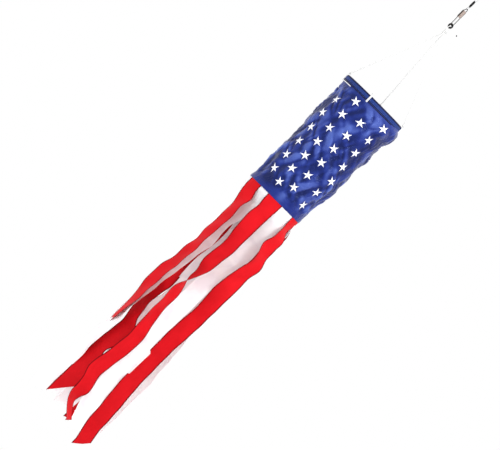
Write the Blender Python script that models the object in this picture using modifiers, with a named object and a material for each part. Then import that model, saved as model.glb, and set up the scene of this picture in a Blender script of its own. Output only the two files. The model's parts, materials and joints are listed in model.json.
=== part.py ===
"""Hanging windsock: a barrel swivel and a snap carry a ring, four bridle cords and a hooped fabric
tube with twelve loose streamers sewn to its lower edge. Metres, +Z up, hanging straight down.

The origin is the highest point inside the swivel's top eye, where a hook or a line bears.
Every height below is a distance measured down from there, and is used with a minus sign.
"""

import math

import bmesh
import bpy
from mathutils import Matrix, Vector

MM = 0.001
TURN = 2 * math.pi

# Swivel: two wire eyes whose headed shanks turn in a hollow barrel.
WIRE_RADIUS = 0.6 * MM
EYE_RADIUS = 3.5 * MM
SHANK_RADIUS = 0.65 * MM
SHANK_HEAD_RADIUS = 1.4 * MM
SHANK_HEAD_THICKNESS = 1.2 * MM
BARREL_TOP = 7.4 * MM
BARREL_LENGTH = 17.0 * MM
BARREL_RADIUS = 2.6 * MM
BARREL_END_RADIUS = 1.9 * MM
BARREL_BORE_RADIUS = 0.95 * MM
BARREL_CAVITY_RADIUS = 1.7 * MM
BARREL_LIP = 1.3 * MM
TOP_EYE_TURN = 0.0
LOWER_EYE_CENTRE = 28.9 * MM

# Snap: one bent wire with a closed loop at each end, and a leg that springs out of a folded clasp.
LINK_GAP = 0.15 * MM
SNAP_TURN = math.radians(38)
SNAP_WIRE_RADIUS = 0.8 * MM
SNAP_TOP_RADIUS = 2.9 * MM
SNAP_LOWER_RADIUS = 4.0 * MM
SNAP_BELLY = ((4.3, 36.2), (5.4, 39.2), (5.8, 43.0), (5.6, 48.0), (5.0, 54.0), (4.3, 61.0), (3.95, 68.0))
GATE_GAP = 0.5 * MM
GATE_TOP = 40.4 * MM
GATE_TOP_SIDE = 3.2 * MM
STUB_END = 38.8 * MM
CLASP_TOP = 37.5 * MM
CLASP_HEIGHT = 19.0 * MM
CLASP_SHEET = 0.4 * MM
CLASP_FOLD = 0.5 * MM
CLASP_DEPTH = 2.7 * MM
CLASP_CLOSED_SIDE = 7.1 * MM
CLASP_OPEN_SIDE = 4.2 * MM

# Ring that the bridle is tied to.
RING_CENTRE = 82.2 * MM
RING_RADIUS = 4.8 * MM
RING_SECTION_RADIUS = 2.0 * MM
RING_TURN = math.radians(-36)

# Bridle: a loop round the ring, a knot, its cut tail and four legs down to the mouth.
CORD_RADIUS = 1.0 * MM
KNOT_TOP = 91.6 * MM
KNOT_LENGTH = 14.5 * MM
KNOT_RADIUS = 4.4 * MM
LEGS_START = 106.6 * MM
LEGS_START_RADIUS = 1.75 * MM
FIRST_LEG_TURN = math.radians(-10)
LEG_NAMES = ("front", "right", "back", "left")
# Where a leg turns over the mouth's edge: how far inside its place on the band, and how far above it.
OVER_MOUTH = ((1.5, 5.5), (0.4, 2.5), (0.0, -0.5))
# The same under the band's lower edge, where it goes in, and where the left leg first runs along it.
UNDER_BAND = ((0.0, 2.0), (0.5, 0.4), (1.8, 0.0))
RUN_START = math.radians(-98.5)
RUN_END = math.radians(-48)
RUN_STEPS = 20
TAIL_POINTS = (
    (3.4, -3.7, -100.5),
    (6.6, -7.7, -100.1),
    (11.5, -10.2, -98.1),
    (16.8, -9.4, -95.0),
    (21.6, -6.0, -91.3),
    (25.2, -0.8, -88.0),
)

# Mouth: a wire hoop in a folded header band, which also holds the top edge of the tube.
MOUTH = 313.4 * MM
HOOP_RADIUS = 79.5 * MM
HOOP_WIRE_RADIUS = 1.1 * MM
FERRULE_INNER_RADIUS = 1.4 * MM
FERRULE_OUTER_RADIUS = 1.8 * MM
FERRULE_HALF_ANGLE = math.radians(7)
FERRULE_TURN = math.radians(150)
BAND_OUTER_RADIUS = 82.5 * MM
BAND_INNER_RADIUS = 76.5 * MM
BAND_HEIGHT = 15.0 * MM
BAND_CLOTH = 0.8 * MM

# Tube of cloth, a little narrower at its lower edge, and the hem inside that edge.
TUBE_TOP_DROP = 5.5 * MM
TAPER_DROP = 23.0 * MM
TUBE_LENGTH = 305.0 * MM
TUBE_TOP_RADIUS = 80.0 * MM
TUBE_LOWER_RADIUS = 71.6 * MM
CLOTH = 1.0 * MM
HEM_HEIGHT = 12.0 * MM
HEM_CLOTH = 0.7 * MM
CLEARANCE = 0.3 * MM

# Streamers: flat strips side by side round the lower edge, leaning a little outwards.
STREAMER_COUNT = 12
STREAMER_LENGTH = 690.0 * MM
STREAMER_WIDTH = 36.6 * MM
STREAMER_CLOTH = 0.8 * MM
STREAMER_DROP = 1.0 * MM
STREAMER_LEAN = math.radians(2)

ROUND_STEPS = 64


def clear_scene():
    for thing in list(bpy.data.objects):
        bpy.data.objects.remove(thing, do_unlink=True)


def material(name, colour, roughness, metallic=0.0):
    made = bpy.data.materials.new(name)
    made.use_nodes = True
    shader = made.node_tree.nodes["Principled BSDF"]
    shader.inputs["Base Color"].default_value = (*colour, 1)
    shader.inputs["Roughness"].default_value = roughness
    shader.inputs["Metallic"].default_value = metallic
    return made


def new_collection(name, hidden=False):
    made = bpy.data.collections.new(name)
    made.hide_render = hidden
    bpy.context.scene.collection.children.link(made)
    return made


def add_object(name, data, look, collection, location=(0, 0, 0), turn=0.0):
    made = bpy.data.objects.new(name, data)
    made.location = location
    made.rotation_euler.z = turn
    if look is not None:
        data.materials.append(look)
    collection.objects.link(made)
    return made


def wire(
    name, points, radius, look, collection, closed=False, location=(0, 0, 0), turn=0.0, caps=True
):
    """A round wire or cord along the points."""
    curve = bpy.data.curves.new(name, "CURVE")
    curve.dimensions = "3D"
    curve.bevel_depth = radius
    curve.bevel_resolution = 2
    curve.use_fill_caps = caps
    curve.render_resolution_u = 0
    spline = curve.splines.new("POLY")
    spline.points.add(len(points) - 1)
    for spot, place in zip(spline.points, points):
        spot.co = (*place, 1)
    spline.use_cyclic_u = closed
    return add_object(name, curve, look, collection, location, turn)


def as_mesh(piece):
    """Swaps a curve object for a mesh object with welded caps, so that it takes a Boolean."""
    bpy.context.view_layer.update()
    graph = bpy.context.evaluated_depsgraph_get()
    mesh = bpy.data.meshes.new_from_object(piece.evaluated_get(graph))
    shape = bmesh.new()
    shape.from_mesh(mesh)
    bmesh.ops.remove_doubles(shape, verts=shape.verts, dist=0.001 * MM)
    shape.to_mesh(mesh)
    shape.free()
    name = piece.name
    home = piece.users_collection[0]
    world = piece.matrix_world.copy()
    bpy.data.objects.remove(piece, do_unlink=True)
    made = bpy.data.objects.new(name, mesh)
    made.matrix_world = world
    home.objects.link(made)
    return made


def turned(name, profile, look, collection, location=(0, 0, 0), steps=ROUND_STEPS):
    """A closed outline of (radius, height) points, turned round Z. It runs down its outer side."""
    mesh = bpy.data.meshes.new(name)
    shape = bmesh.new()
    spots = [shape.verts.new((radius, 0, height)) for radius, height in profile]
    for first, second in zip(spots, spots[1:] + spots[:1]):
        shape.edges.new((first, second))
    shape.to_mesh(mesh)
    shape.free()
    made = add_object(name, mesh, look, collection, location)
    screw = made.modifiers.new("turn", "SCREW")
    screw.axis = "Z"
    screw.angle = TURN
    screw.steps = steps
    screw.render_steps = steps
    screw.use_merge_vertices = True
    screw.merge_threshold = 0.001 * MM
    return made


def unite(piece, others, cutters):
    """Joins the other shapes to the piece with Boolean unions."""
    for other in others:
        join = piece.modifiers.new("join_" + other.name, "BOOLEAN")
        join.operation = "UNION"
        join.object = other
        other.hide_render = True
        other.display_type = "WIRE"
        for home in list(other.users_collection):
            home.objects.unlink(other)
        cutters.objects.link(other)


def arc(centre, radius, start, end, count):
    """Points on an arc in the X-Z plane, angles from +X towards +Z."""
    angles = [start + (end - start) * i / (count - 1) for i in range(count)]
    return [
        (centre[0] + radius * math.cos(angle), 0, centre[1] + radius * math.sin(angle))
        for angle in angles
    ]


def full_circle(radius, count):
    angles = [TURN * i / count for i in range(count)]
    return [(radius * math.cos(angle), 0, radius * math.sin(angle)) for angle in angles]


def front_angle(radius, angle, height):
    """A point at an angle round Z, measured from -Y towards +X."""
    return (radius * math.sin(angle), -radius * math.cos(angle), height)


def swivel_eye(name, eye_centre, head_far_end, look, collection, cutters, turn):
    """A wire eye whose straight shank ends in a round head inside the barrel."""
    ring = wire(
        name, full_circle(EYE_RADIUS, 32), WIRE_RADIUS, look, collection, closed=True,
        location=(0, 0, -eye_centre), turn=turn,
    )
    eye = as_mesh(ring)
    towards = 1 if eye_centre > head_far_end else -1
    near = towards * EYE_RADIUS
    far = eye_centre - head_far_end
    neck = far - towards * SHANK_HEAD_THICKNESS
    profile = [
        (SHANK_RADIUS, near),
        (SHANK_RADIUS, neck),
        (SHANK_HEAD_RADIUS, neck),
        (SHANK_HEAD_RADIUS, far),
        (0.0, far),
        (0.0, near),
    ]
    if towards > 0:
        profile.reverse()
    shank = turned(name + "_shank", profile, look, collection, (0, 0, -eye_centre), 16)
    unite(eye, [shank], cutters)
    return eye


def make_swivel(looks, collection, cutters):
    barrel_end = BARREL_TOP + BARREL_LENGTH
    head_gap = BARREL_LIP + 0.9 * MM
    eye_top = EYE_RADIUS - WIRE_RADIUS
    swivel_eye(
        "swivel_top_eye", eye_top, BARREL_TOP + head_gap + SHANK_HEAD_THICKNESS,
        looks["steel"], collection, cutters, TOP_EYE_TURN,
    )
    swivel_eye(
        "swivel_bottom_eye", LOWER_EYE_CENTRE, barrel_end - head_gap - SHANK_HEAD_THICKNESS,
        looks["steel"], collection, cutters, SNAP_TURN - math.pi / 2,
    )
    waist = 3.6 * MM
    profile = [
        (BARREL_BORE_RADIUS, 0),
        (BARREL_END_RADIUS, 0),
        (BARREL_RADIUS - 0.2 * MM, -1.2 * MM),
        (BARREL_RADIUS, -waist),
        (BARREL_RADIUS, waist - BARREL_LENGTH),
        (BARREL_RADIUS - 0.2 * MM, 1.2 * MM - BARREL_LENGTH),
        (BARREL_END_RADIUS, -BARREL_LENGTH),
        (BARREL_BORE_RADIUS, -BARREL_LENGTH),
        (BARREL_BORE_RADIUS, BARREL_LIP - BARREL_LENGTH),
        (BARREL_CAVITY_RADIUS, BARREL_LIP + 0.5 * MM - BARREL_LENGTH),
        (BARREL_CAVITY_RADIUS, -BARREL_LIP - 0.5 * MM),
        (BARREL_BORE_RADIUS, -BARREL_LIP),
    ]
    turned("swivel_barrel", profile, looks["black_metal"], collection, (0, 0, -BARREL_TOP), 24)


def snap_heights():
    """The heights of the snap's two wire bends, which hook the eye above and the ring below."""
    pivot = LOWER_EYE_CENTRE + EYE_RADIUS
    top_wire = pivot - WIRE_RADIUS - LINK_GAP - SNAP_WIRE_RADIUS
    ring_top = RING_CENTRE - RING_RADIUS
    low_wire = ring_top + RING_SECTION_RADIUS + LINK_GAP + SNAP_WIRE_RADIUS
    return pivot, top_wire, low_wire


def make_snap(looks, collection):
    pivot, top_wire, low_wire = snap_heights()
    top_centre = top_wire + SNAP_TOP_RADIUS
    low_centre = low_wire - SNAP_LOWER_RADIUS
    frame_end = low_centre - 1.0 * MM
    top_bend = arc((0, pivot - top_centre), SNAP_TOP_RADIUS, 0, math.pi, 13)
    low_bend = arc((0, pivot - low_centre), SNAP_LOWER_RADIUS, math.pi, TURN, 13)
    belly = [(-across * MM, 0, pivot - down * MM) for across, down in SNAP_BELLY]
    leg = smooth_path([Vector(place) for place in (top_bend[-1], *belly, low_bend[0])], 3)
    path = [(SNAP_TOP_RADIUS, 0, pivot - STUB_END), *top_bend[:-1], *leg, *low_bend[1:]]
    path.append((SNAP_LOWER_RADIUS, 0, pivot - frame_end))
    wire(
        "snap_frame", path, SNAP_WIRE_RADIUS, looks["dark_wire"], collection,
        location=(0, 0, -pivot), turn=SNAP_TURN,
    )
    # The gate's foot is its hinge.
    foot = frame_end - GATE_GAP
    lean = GATE_TOP_SIDE - SNAP_LOWER_RADIUS
    hinge = Vector((SNAP_LOWER_RADIUS, 0, -foot))
    hinge.rotate(Matrix.Rotation(SNAP_TURN, 3, "Z"))
    gate = [(lean * i / 6, 0, (foot - GATE_TOP) * i / 6) for i in range(7)]
    wire(
        "snap_gate", gate, SNAP_WIRE_RADIUS, looks["dark_wire"], collection,
        location=hinge, turn=SNAP_TURN,
    )
    # The clasp is a folded channel, closed round the frame's leg and open towards the gate.
    half = CLASP_DEPTH / 2
    inner = half - CLASP_SHEET
    closed_in = CLASP_CLOSED_SIDE - CLASP_SHEET
    outline = [
        (CLASP_OPEN_SIDE, -half),
        (CLASP_OPEN_SIDE, -inner),
        (-closed_in, -inner),
        (-closed_in, inner),
        (CLASP_OPEN_SIDE, inner),
        (CLASP_OPEN_SIDE, half),
        (CLASP_FOLD - CLASP_CLOSED_SIDE, half),
        (-CLASP_CLOSED_SIDE, half - CLASP_FOLD),
        (-CLASP_CLOSED_SIDE, CLASP_FOLD - half),
        (CLASP_FOLD - CLASP_CLOSED_SIDE, -half),
    ]
    curve = bpy.data.curves.new("snap_clasp", "CURVE")
    curve.dimensions = "2D"
    curve.fill_mode = "BOTH"
    curve.extrude = CLASP_HEIGHT / 2
    curve.render_resolution_u = 0
    spline = curve.splines.new("POLY")
    spline.points.add(len(outline) - 1)
    for spot, (across, deep) in zip(spline.points, outline):
        spot.co = (across, deep, 0, 1)
    spline.use_cyclic_u = True
    middle = CLASP_TOP + CLASP_HEIGHT / 2
    add_object("snap_clasp", curve, looks["clasp"], collection, (0, 0, -middle), SNAP_TURN)


def make_ring(looks, collection):
    wire(
        "tie_ring", full_circle(RING_RADIUS, 32), RING_SECTION_RADIUS, looks["black_ring"],
        collection, closed=True, location=(0, 0, -RING_CENTRE), turn=RING_TURN,
    )


def make_knot(looks, collection, cutters):
    """The cord's loop round the ring and the knot under it, as one piece with the ring's low point
    as its origin, because the bridle swings there."""
    pivot = RING_CENTRE + RING_RADIUS
    loop_radius = RING_SECTION_RADIUS + LINK_GAP + CORD_RADIUS
    loop = wire(
        "bridle_knot", full_circle(loop_radius, 20), CORD_RADIUS, looks["cord"], collection,
        closed=True, location=(0, 0, -pivot), turn=RING_TURN + math.pi / 2,
    )
    knot = as_mesh(loop)
    top = pivot - KNOT_TOP
    profile = [(0.0, top + 1.0 * MM)]
    bulges = 3
    for bulge in range(bulges):
        for step in range(5):
            angle = math.pi * (step + 0.5) / 5
            height = top - KNOT_LENGTH * (bulge + (step + 0.5) / 5) / bulges
            profile.append((KNOT_RADIUS * (0.72 + 0.28 * math.sin(angle)), height))
    profile.append((0.0, top - KNOT_LENGTH))
    lump = turned("knot_lump", profile, looks["cord"], collection, (0, 0, -pivot), 20)
    unite(knot, [lump], cutters)


def smooth_path(points, count):
    """The same number of points between each pair of a route's points, on a Catmull-Rom curve."""
    ends = [points[0] * 2 - points[1], *points, points[-1] * 2 - points[-2]]
    path = []
    for a, b, c, d in zip(ends, ends[1:], ends[2:], ends[3:]):
        for i in range(count):
            t = i / count
            path.append(
                0.5 * (2 * b + (c - a) * t + (2 * a - 5 * b + 4 * c - d) * t**2
                       + (3 * b - a - 3 * c + d) * t**3)
            )
    return path + [points[-1]]


def make_bridle(looks, collection):
    tail = smooth_path([Vector(place) * MM for place in TAIL_POINTS], 3)
    wire("bridle_tail", tail, CORD_RADIUS, looks["cord"], collection)
    outside = BAND_OUTER_RADIUS + CLEARANCE + CORD_RADIUS
    below = -MOUTH - BAND_HEIGHT - CLEARANCE - CORD_RADIUS
    over = [(outside - inward * MM, above * MM - MOUTH) for inward, above in OVER_MOUTH]
    under = [(outside - inward * MM, above * MM + below) for inward, above in UNDER_BAND]
    for i, name in enumerate(LEG_NAMES):
        angle = FIRST_LEG_TURN + i * TURN / 4
        route = [(LEGS_START_RADIUS, -LEGS_START), *over, *under]
        path = [front_angle(radius, angle, height) for radius, height in route]
        if name == "left":
            # This leg runs on round the band's lower edge before it goes in.
            path = path[: 2 - len(under)]
            for step in range(RUN_STEPS + 1):
                along = RUN_START + (RUN_END - RUN_START) * step / RUN_STEPS
                path.append(front_angle(outside, along, below))
            path.append(front_angle(under[-1][0], RUN_END, below))
        wire("bridle_cord_" + name, path, CORD_RADIUS, looks["cord"], collection)


def make_hoop(looks, collection):
    height = -MOUTH - BAND_CLOTH - 2.2 * MM
    around = [(x, z, 0) for x, _, z in full_circle(HOOP_RADIUS, 72)]
    wire(
        "hoop_wire", around, HOOP_WIRE_RADIUS, looks["steel"], collection, closed=True,
        location=(0, 0, height),
    )
    # A ferrule crimped over the hoop's two ends: an open tube bent along the hoop, thickened inwards.
    angles = [FERRULE_TURN + FERRULE_HALF_ANGLE * (i / 3 - 1) for i in range(7)]
    path = [front_angle(HOOP_RADIUS, angle, 0) for angle in angles]
    sleeve = wire(
        "hoop_ferrule", path, FERRULE_OUTER_RADIUS, looks["steel"], collection,
        location=(0, 0, height), caps=False,
    )
    sleeve = as_mesh(sleeve)
    wall = sleeve.modifiers.new("wall", "SOLIDIFY")
    wall.thickness = FERRULE_OUTER_RADIUS - FERRULE_INNER_RADIUS
    wall.offset = -1
    wall.use_even_offset = True


def make_sock(looks, collection):
    outer = BAND_OUTER_RADIUS
    inner = BAND_INNER_RADIUS
    round_off = 1.2 * MM
    band = [
        (inner + round_off, 0),
        (outer - round_off, 0),
        (outer, -round_off),
        (outer, -BAND_HEIGHT),
        (outer - BAND_CLOTH, -BAND_HEIGHT),
        (outer - BAND_CLOTH, -BAND_CLOTH),
        (inner + BAND_CLOTH, -BAND_CLOTH),
        (inner + BAND_CLOTH, -BAND_HEIGHT),
        (inner, -BAND_HEIGHT),
        (inner, -round_off),
    ]
    turned("header_band", band, looks["band_cloth"], collection, (0, 0, -MOUTH))
    start = -TUBE_TOP_DROP
    end = -TUBE_LENGTH
    tube = [
        (TUBE_TOP_RADIUS, start),
        (TUBE_TOP_RADIUS, -TAPER_DROP),
        (TUBE_LOWER_RADIUS, end),
        (TUBE_LOWER_RADIUS - CLOTH, end),
        (TUBE_TOP_RADIUS - CLOTH, -TAPER_DROP),
        (TUBE_TOP_RADIUS - CLOTH, start),
    ]
    turned("sock_body", tube, looks["blue_cloth"], collection, (0, 0, -MOUTH))
    hem_radius = TUBE_LOWER_RADIUS - CLOTH - CLEARANCE
    hem = [
        (hem_radius, -TUBE_LENGTH + HEM_HEIGHT),
        (hem_radius, end),
        (hem_radius - HEM_CLOTH, end),
        (hem_radius - HEM_CLOTH, -TUBE_LENGTH + HEM_HEIGHT),
    ]
    turned("hem_band", hem, looks["blue_cloth"], collection, (0, 0, -MOUTH))


def make_streamers(looks, collection):
    hinge = MOUTH + TUBE_LENGTH + STREAMER_DROP
    radius = TUBE_LOWER_RADIUS - CLOTH / 2
    for i in range(STREAMER_COUNT):
        colour = "red" if i % 2 == 0 else "white"
        name = f"{colour}_streamer_{i // 2 + 1}"
        angle = i * TURN / STREAMER_COUNT
        mesh = bpy.data.meshes.new(name)
        shape = bmesh.new()
        bmesh.ops.create_cube(shape, size=1.0)
        size = (STREAMER_WIDTH, STREAMER_CLOTH, STREAMER_LENGTH)
        bmesh.ops.scale(shape, vec=size, verts=shape.verts)
        bmesh.ops.translate(shape, vec=(0, 0, -STREAMER_LENGTH / 2), verts=shape.verts)
        shape.to_mesh(mesh)
        shape.free()
        place = front_angle(radius, angle, -hinge)
        strip = add_object(name, mesh, looks[colour + "_cloth"], collection, place, angle)
        strip.rotation_euler.x = -STREAMER_LEAN


def main():
    clear_scene()
    parts = new_collection("hanging_windsock")
    cutters = new_collection("join_shapes", hidden=True)
    looks = {
        "steel": material("steel_wire", (0.55, 0.55, 0.56), 0.35, 1.0),
        "black_metal": material("black_plated_metal", (0.02, 0.02, 0.02), 0.4, 0.6),
        "dark_wire": material("dark_snap_wire", (0.16, 0.13, 0.12), 0.4, 0.9),
        "clasp": material("stamped_clasp", (0.40, 0.34, 0.31), 0.35, 0.9),
        "black_ring": material("black_ring", (0.015, 0.015, 0.015), 0.45),
        "cord": material("white_cord", (0.86, 0.86, 0.86), 0.85),
        "band_cloth": material("header_cloth", (0.05, 0.09, 0.25), 0.8),
        "blue_cloth": material("blue_cloth", (0.06, 0.09, 0.38), 0.6),
        "red_cloth": material("red_cloth", (0.75, 0.02, 0.04), 0.6),
        "white_cloth": material("white_cloth", (0.85, 0.83, 0.84), 0.6),
    }
    make_swivel(looks, parts, cutters)
    make_snap(looks, parts)
    make_ring(looks, parts)
    make_knot(looks, parts, cutters)
    make_bridle(looks, parts)
    make_hoop(looks, parts)
    make_sock(looks, parts)
    make_streamers(looks, parts)


main()
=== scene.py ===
"""The looks of the hanging windsock: satin tube with embroidered stars, stitched header band,
twelve hemmed streamers, laid cord bridle and the metal swivel and snap. Metres, +Z up."""

import json
import math

import bmesh
import bpy
import numpy as np
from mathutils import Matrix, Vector


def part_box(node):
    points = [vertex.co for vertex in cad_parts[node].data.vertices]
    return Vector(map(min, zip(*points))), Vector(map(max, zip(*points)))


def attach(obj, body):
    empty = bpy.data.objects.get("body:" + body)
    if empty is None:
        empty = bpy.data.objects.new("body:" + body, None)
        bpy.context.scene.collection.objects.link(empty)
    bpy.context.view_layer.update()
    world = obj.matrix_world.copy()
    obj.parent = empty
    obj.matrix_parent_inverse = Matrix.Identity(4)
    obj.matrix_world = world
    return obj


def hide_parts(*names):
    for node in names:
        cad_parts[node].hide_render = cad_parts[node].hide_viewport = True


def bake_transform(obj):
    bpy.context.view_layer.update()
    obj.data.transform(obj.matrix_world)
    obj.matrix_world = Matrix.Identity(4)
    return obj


MM = 0.001
TURN = 2 * math.pi
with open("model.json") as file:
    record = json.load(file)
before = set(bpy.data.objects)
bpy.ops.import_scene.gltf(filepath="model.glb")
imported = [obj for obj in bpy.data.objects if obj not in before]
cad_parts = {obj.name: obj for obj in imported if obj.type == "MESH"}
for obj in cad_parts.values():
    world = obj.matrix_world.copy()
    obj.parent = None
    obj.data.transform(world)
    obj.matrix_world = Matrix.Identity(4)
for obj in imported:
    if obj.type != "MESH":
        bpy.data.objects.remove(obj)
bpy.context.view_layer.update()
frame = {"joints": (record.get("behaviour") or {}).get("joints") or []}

# Places read from the frame.
band_low, band_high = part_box("header_band")
MOUTH_Z = band_high.z
BAND_HEIGHT = band_high.z - band_low.z
BAND_RADIUS = band_high.x
SOCK_END_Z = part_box("sock_body")[0].z
SOCK_LENGTH = MOUTH_Z - SOCK_END_Z
JOINTS = {joint["name"]: joint for joint in frame["joints"]}


def joint_point(name):
    return Vector(JOINTS[name]["pos_m"])


# ---------------------------------------------------------------- camera, light and stage

FRAME_WIDTH = 1.085  # what the picture's width takes in, at the windsock
LENS = 500.0
SENSOR = 36.0
ROLL = math.radians(-45)  # the picture is turned, so that the hanging windsock runs corner to corner
AIM = Vector((-0.0023, 0.0, MOUTH_Z - 0.382))
FILL_AWAY = 1.2  # the studio's light from behind, and below from the front
FILL_TOWARDS = 1.6
FILL_DIRECTION = (-0.5, -1.0, 0.0)
KEY_PLACE = (0.75, -1.0, 0.1)
KEY_POWER = 10
KEY_SIZE = 0.25
KEY_AIM_DROP = 0.15
PURE_WHITE = (1.0, 1.0, 1.0)
FLOOR_Z = -1.75
FLOOR_RADIUS = 4.0
FLOOR_SIDES = 96


def make_camera():
    data = bpy.data.cameras.new("camera")
    data.lens = LENS
    data.sensor_width = SENSOR
    data.clip_end = 100
    camera = bpy.data.objects.new("camera", data)
    bpy.context.scene.collection.objects.link(camera)
    away = LENS / SENSOR * FRAME_WIDTH
    camera.location = AIM + Vector((0, -away, 0))
    camera.rotation_euler = (math.pi / 2, ROLL, 0)
    bpy.context.scene.camera = camera


def make_light(name, place, aim, size, power):
    data = bpy.data.lights.new(name, "AREA")
    data.shape = "DISK"
    data.size = size
    data.energy = power
    lamp = bpy.data.objects.new(name, data)
    lamp.location = place
    lamp.rotation_euler = (Vector(aim) - Vector(place)).to_track_quat("-Z", "Y").to_euler()
    lamp.visible_camera = False
    bpy.context.scene.collection.objects.link(lamp)


def make_stage():
    scene = bpy.context.scene
    scene.view_settings.view_transform = "Standard"
    world = bpy.data.worlds.new("studio")
    scene.world = world
    world.use_nodes = True
    # The ground is plain white in the picture. The studio's own light is stronger in front.
    tree = world.node_tree
    sky = node(tree, "ShaderNodeTexCoord").outputs["Generated"]
    towards = dot_product(tree, sky, Vector(FILL_DIRECTION).normalized())
    strength = spread(tree, towards, From_Min=-0.6, From_Max=1.0, To_Min=FILL_AWAY,
                      To_Max=FILL_TOWARDS, interpolation_type="SMOOTHSTEP")
    fill = tree.nodes["Background"]
    fill.inputs["Color"].default_value = (*PURE_WHITE, 1)
    tree.links.new(strength, fill.inputs["Strength"])
    white = node(tree, "ShaderNodeBackground", Color=(*PURE_WHITE, 1))
    both = node(tree, "ShaderNodeMixShader")
    seen = node(tree, "ShaderNodeLightPath")
    parts = (seen.outputs["Is Camera Ray"], fill.outputs["Background"], white.outputs["Background"])
    for part, socket in zip(parts, both.inputs):
        tree.links.new(part, socket)
    tree.links.new(both.outputs["Shader"], tree.nodes["World Output"].inputs["Surface"])
    make_light("key", KEY_PLACE, (0, 0, MOUTH_Z - KEY_AIM_DROP), KEY_SIZE, KEY_POWER)
    mesh = bpy.data.meshes.new("floor")
    rim = front_angle(FLOOR_RADIUS, np.arange(FLOOR_SIDES) * TURN / FLOOR_SIDES, FLOOR_Z)
    mesh.from_pydata(rim.tolist(), [], [list(range(FLOOR_SIDES))])
    floor = bpy.data.objects.new("floor", mesh)
    scene.collection.objects.link(floor)
    mesh.materials.append(floor_material())


# ---------------------------------------------------------------- material helpers

WAVE_RATE = 20  # a wave texture's own angle for each metre, in radians
LOOKS = {}  # each material by its name


def new_material(name, colour, roughness, metallic=0.0, sheen=0.0):
    made = bpy.data.materials.new(name)
    made.use_nodes = True
    shader = made.node_tree.nodes["Principled BSDF"]
    shader.inputs["Base Color"].default_value = (*colour, 1)
    shader.inputs["Roughness"].default_value = roughness
    shader.inputs["Metallic"].default_value = metallic
    shader.inputs["Sheen Weight"].default_value = sheen
    shader.inputs["Sheen Roughness"].default_value = 0.4
    return made, made.node_tree, shader


def node(tree, kind, **values):
    """A shader node. Each value is a setting, an input or another node's output for an input."""
    made = tree.nodes.new(kind)
    for key, value in values.items():
        socket = key.replace("_", " ")
        if socket not in made.inputs:
            setattr(made, key, value)
        elif isinstance(value, bpy.types.NodeSocket):
            tree.links.new(value, made.inputs[socket])
        else:
            made.inputs[socket].default_value = value
    return made


def noise(tree, place, **values):
    return node(tree, "ShaderNodeTexNoise", Vector=place, **values).outputs["Fac"]


def spread(tree, value, **values):
    """The value moved from one range to another."""
    return node(tree, "ShaderNodeMapRange", Value=value, **values).outputs["Result"]


def dot_product(tree, place, direction):
    made = node(tree, "ShaderNodeVectorMath", operation="DOT_PRODUCT", Vector=place)
    made.inputs[1].default_value = direction
    return made.outputs["Value"]


def toned(tree, value, *stops):
    """The colour for a value, between stops of (value, colour)."""
    made = node(tree, "ShaderNodeValToRGB", Fac=value)
    elements = made.color_ramp.elements
    while len(elements) < len(stops):
        elements.new(0.5)
    for element, (place, colour) in zip(elements, stops):
        element.position = place
        element.color = (*colour, 1)
    return made.outputs["Color"]


def mixed(tree, factor, first, second, mode="MIX"):
    made = node(tree, "ShaderNodeMix", data_type="RGBA", blend_type=mode)
    for number, value in ((0, factor), (6, first), (7, second)):
        if isinstance(value, bpy.types.NodeSocket):
            tree.links.new(value, made.inputs[number])
        else:
            made.inputs[number].default_value = value if number == 0 else (*value, 1)
    return made.outputs[2]


def multiplied(tree, first, second):
    return mixed(tree, 1.0, first, second, "MULTIPLY")


def paint(tree, shader, colour):
    tree.links.new(colour, shader.inputs["Base Color"])


def gloss(tree, shader, value, roughness, change):
    """Roughness that varies with the value by this much to each side."""
    varied = spread(tree, value, To_Min=max(0.05, roughness - change), To_Max=roughness + change)
    tree.links.new(varied, shader.inputs["Roughness"])


def bump(tree, shader, *heights):
    """A chain of bumps: each is (height socket, strength, distance)."""
    normal = None
    for height, strength, distance in heights:
        made = node(tree, "ShaderNodeBump", Height=height, Strength=strength, Distance=distance)
        if normal is not None:
            tree.links.new(normal, made.inputs["Normal"])
        normal = made.outputs["Normal"]
    tree.links.new(normal, shader.inputs["Normal"])


def floor_material():
    """One colour with a faint mottle."""
    made, tree, shader = new_material("floor_paint", (0.86, 0.86, 0.86), 0.7)
    mottle = node(tree, "ShaderNodeTexNoise", Scale=6.0).outputs["Fac"]
    paint(tree, shader, mixed(tree, mottle, (0.8342, 0.8342, 0.8342), (0.86, 0.86, 0.86)))
    return made


def thread_waves(tree, cloth, direction, rate, **values):
    """Parallel threads. rate is the wave's angle for each metre of cloth, in radians."""
    wave = node(tree, "ShaderNodeTexWave", bands_direction=direction, Vector=cloth,
                Scale=rate / WAVE_RATE, **values)
    return wave.outputs["Fac"]


def woven(tree, rate):
    """The cloth's own metric coordinates, and its warp and weft threads over and under each other."""
    cloth = node(tree, "ShaderNodeUVMap", uv_map="cloth").outputs["UV"]
    warp = thread_waves(tree, cloth, "X", rate)
    weft = thread_waves(tree, cloth, "Y", rate)
    crossed = node(tree, "ShaderNodeMath", operation="MULTIPLY", Value=warp)
    tree.links.new(weft, crossed.inputs[1])
    return cloth, crossed.outputs["Value"]


def cloth_material(name, colour, shade, roughness, sheen, rate=1400):
    """Fine woven cloth. shade is its colour in the hollows of its mottle."""
    made, tree, shader = new_material(name, colour, roughness, sheen=sheen)
    cloth, weave = woven(tree, rate)
    mottle = noise(tree, cloth, Scale=26.0, Detail=3.0)
    paint(tree, shader, toned(tree, mottle, (0.35, shade), (0.62, colour)))
    creases = noise(tree, cloth, Scale=55.0, Detail=4.0, Distortion=1.2)
    bump(tree, shader, (creases, 0.25, 1.2 * MM), (weave, 0.12, 0.1 * MM))
    gloss(tree, shader, mottle, roughness, 0.08)
    return made


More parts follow.
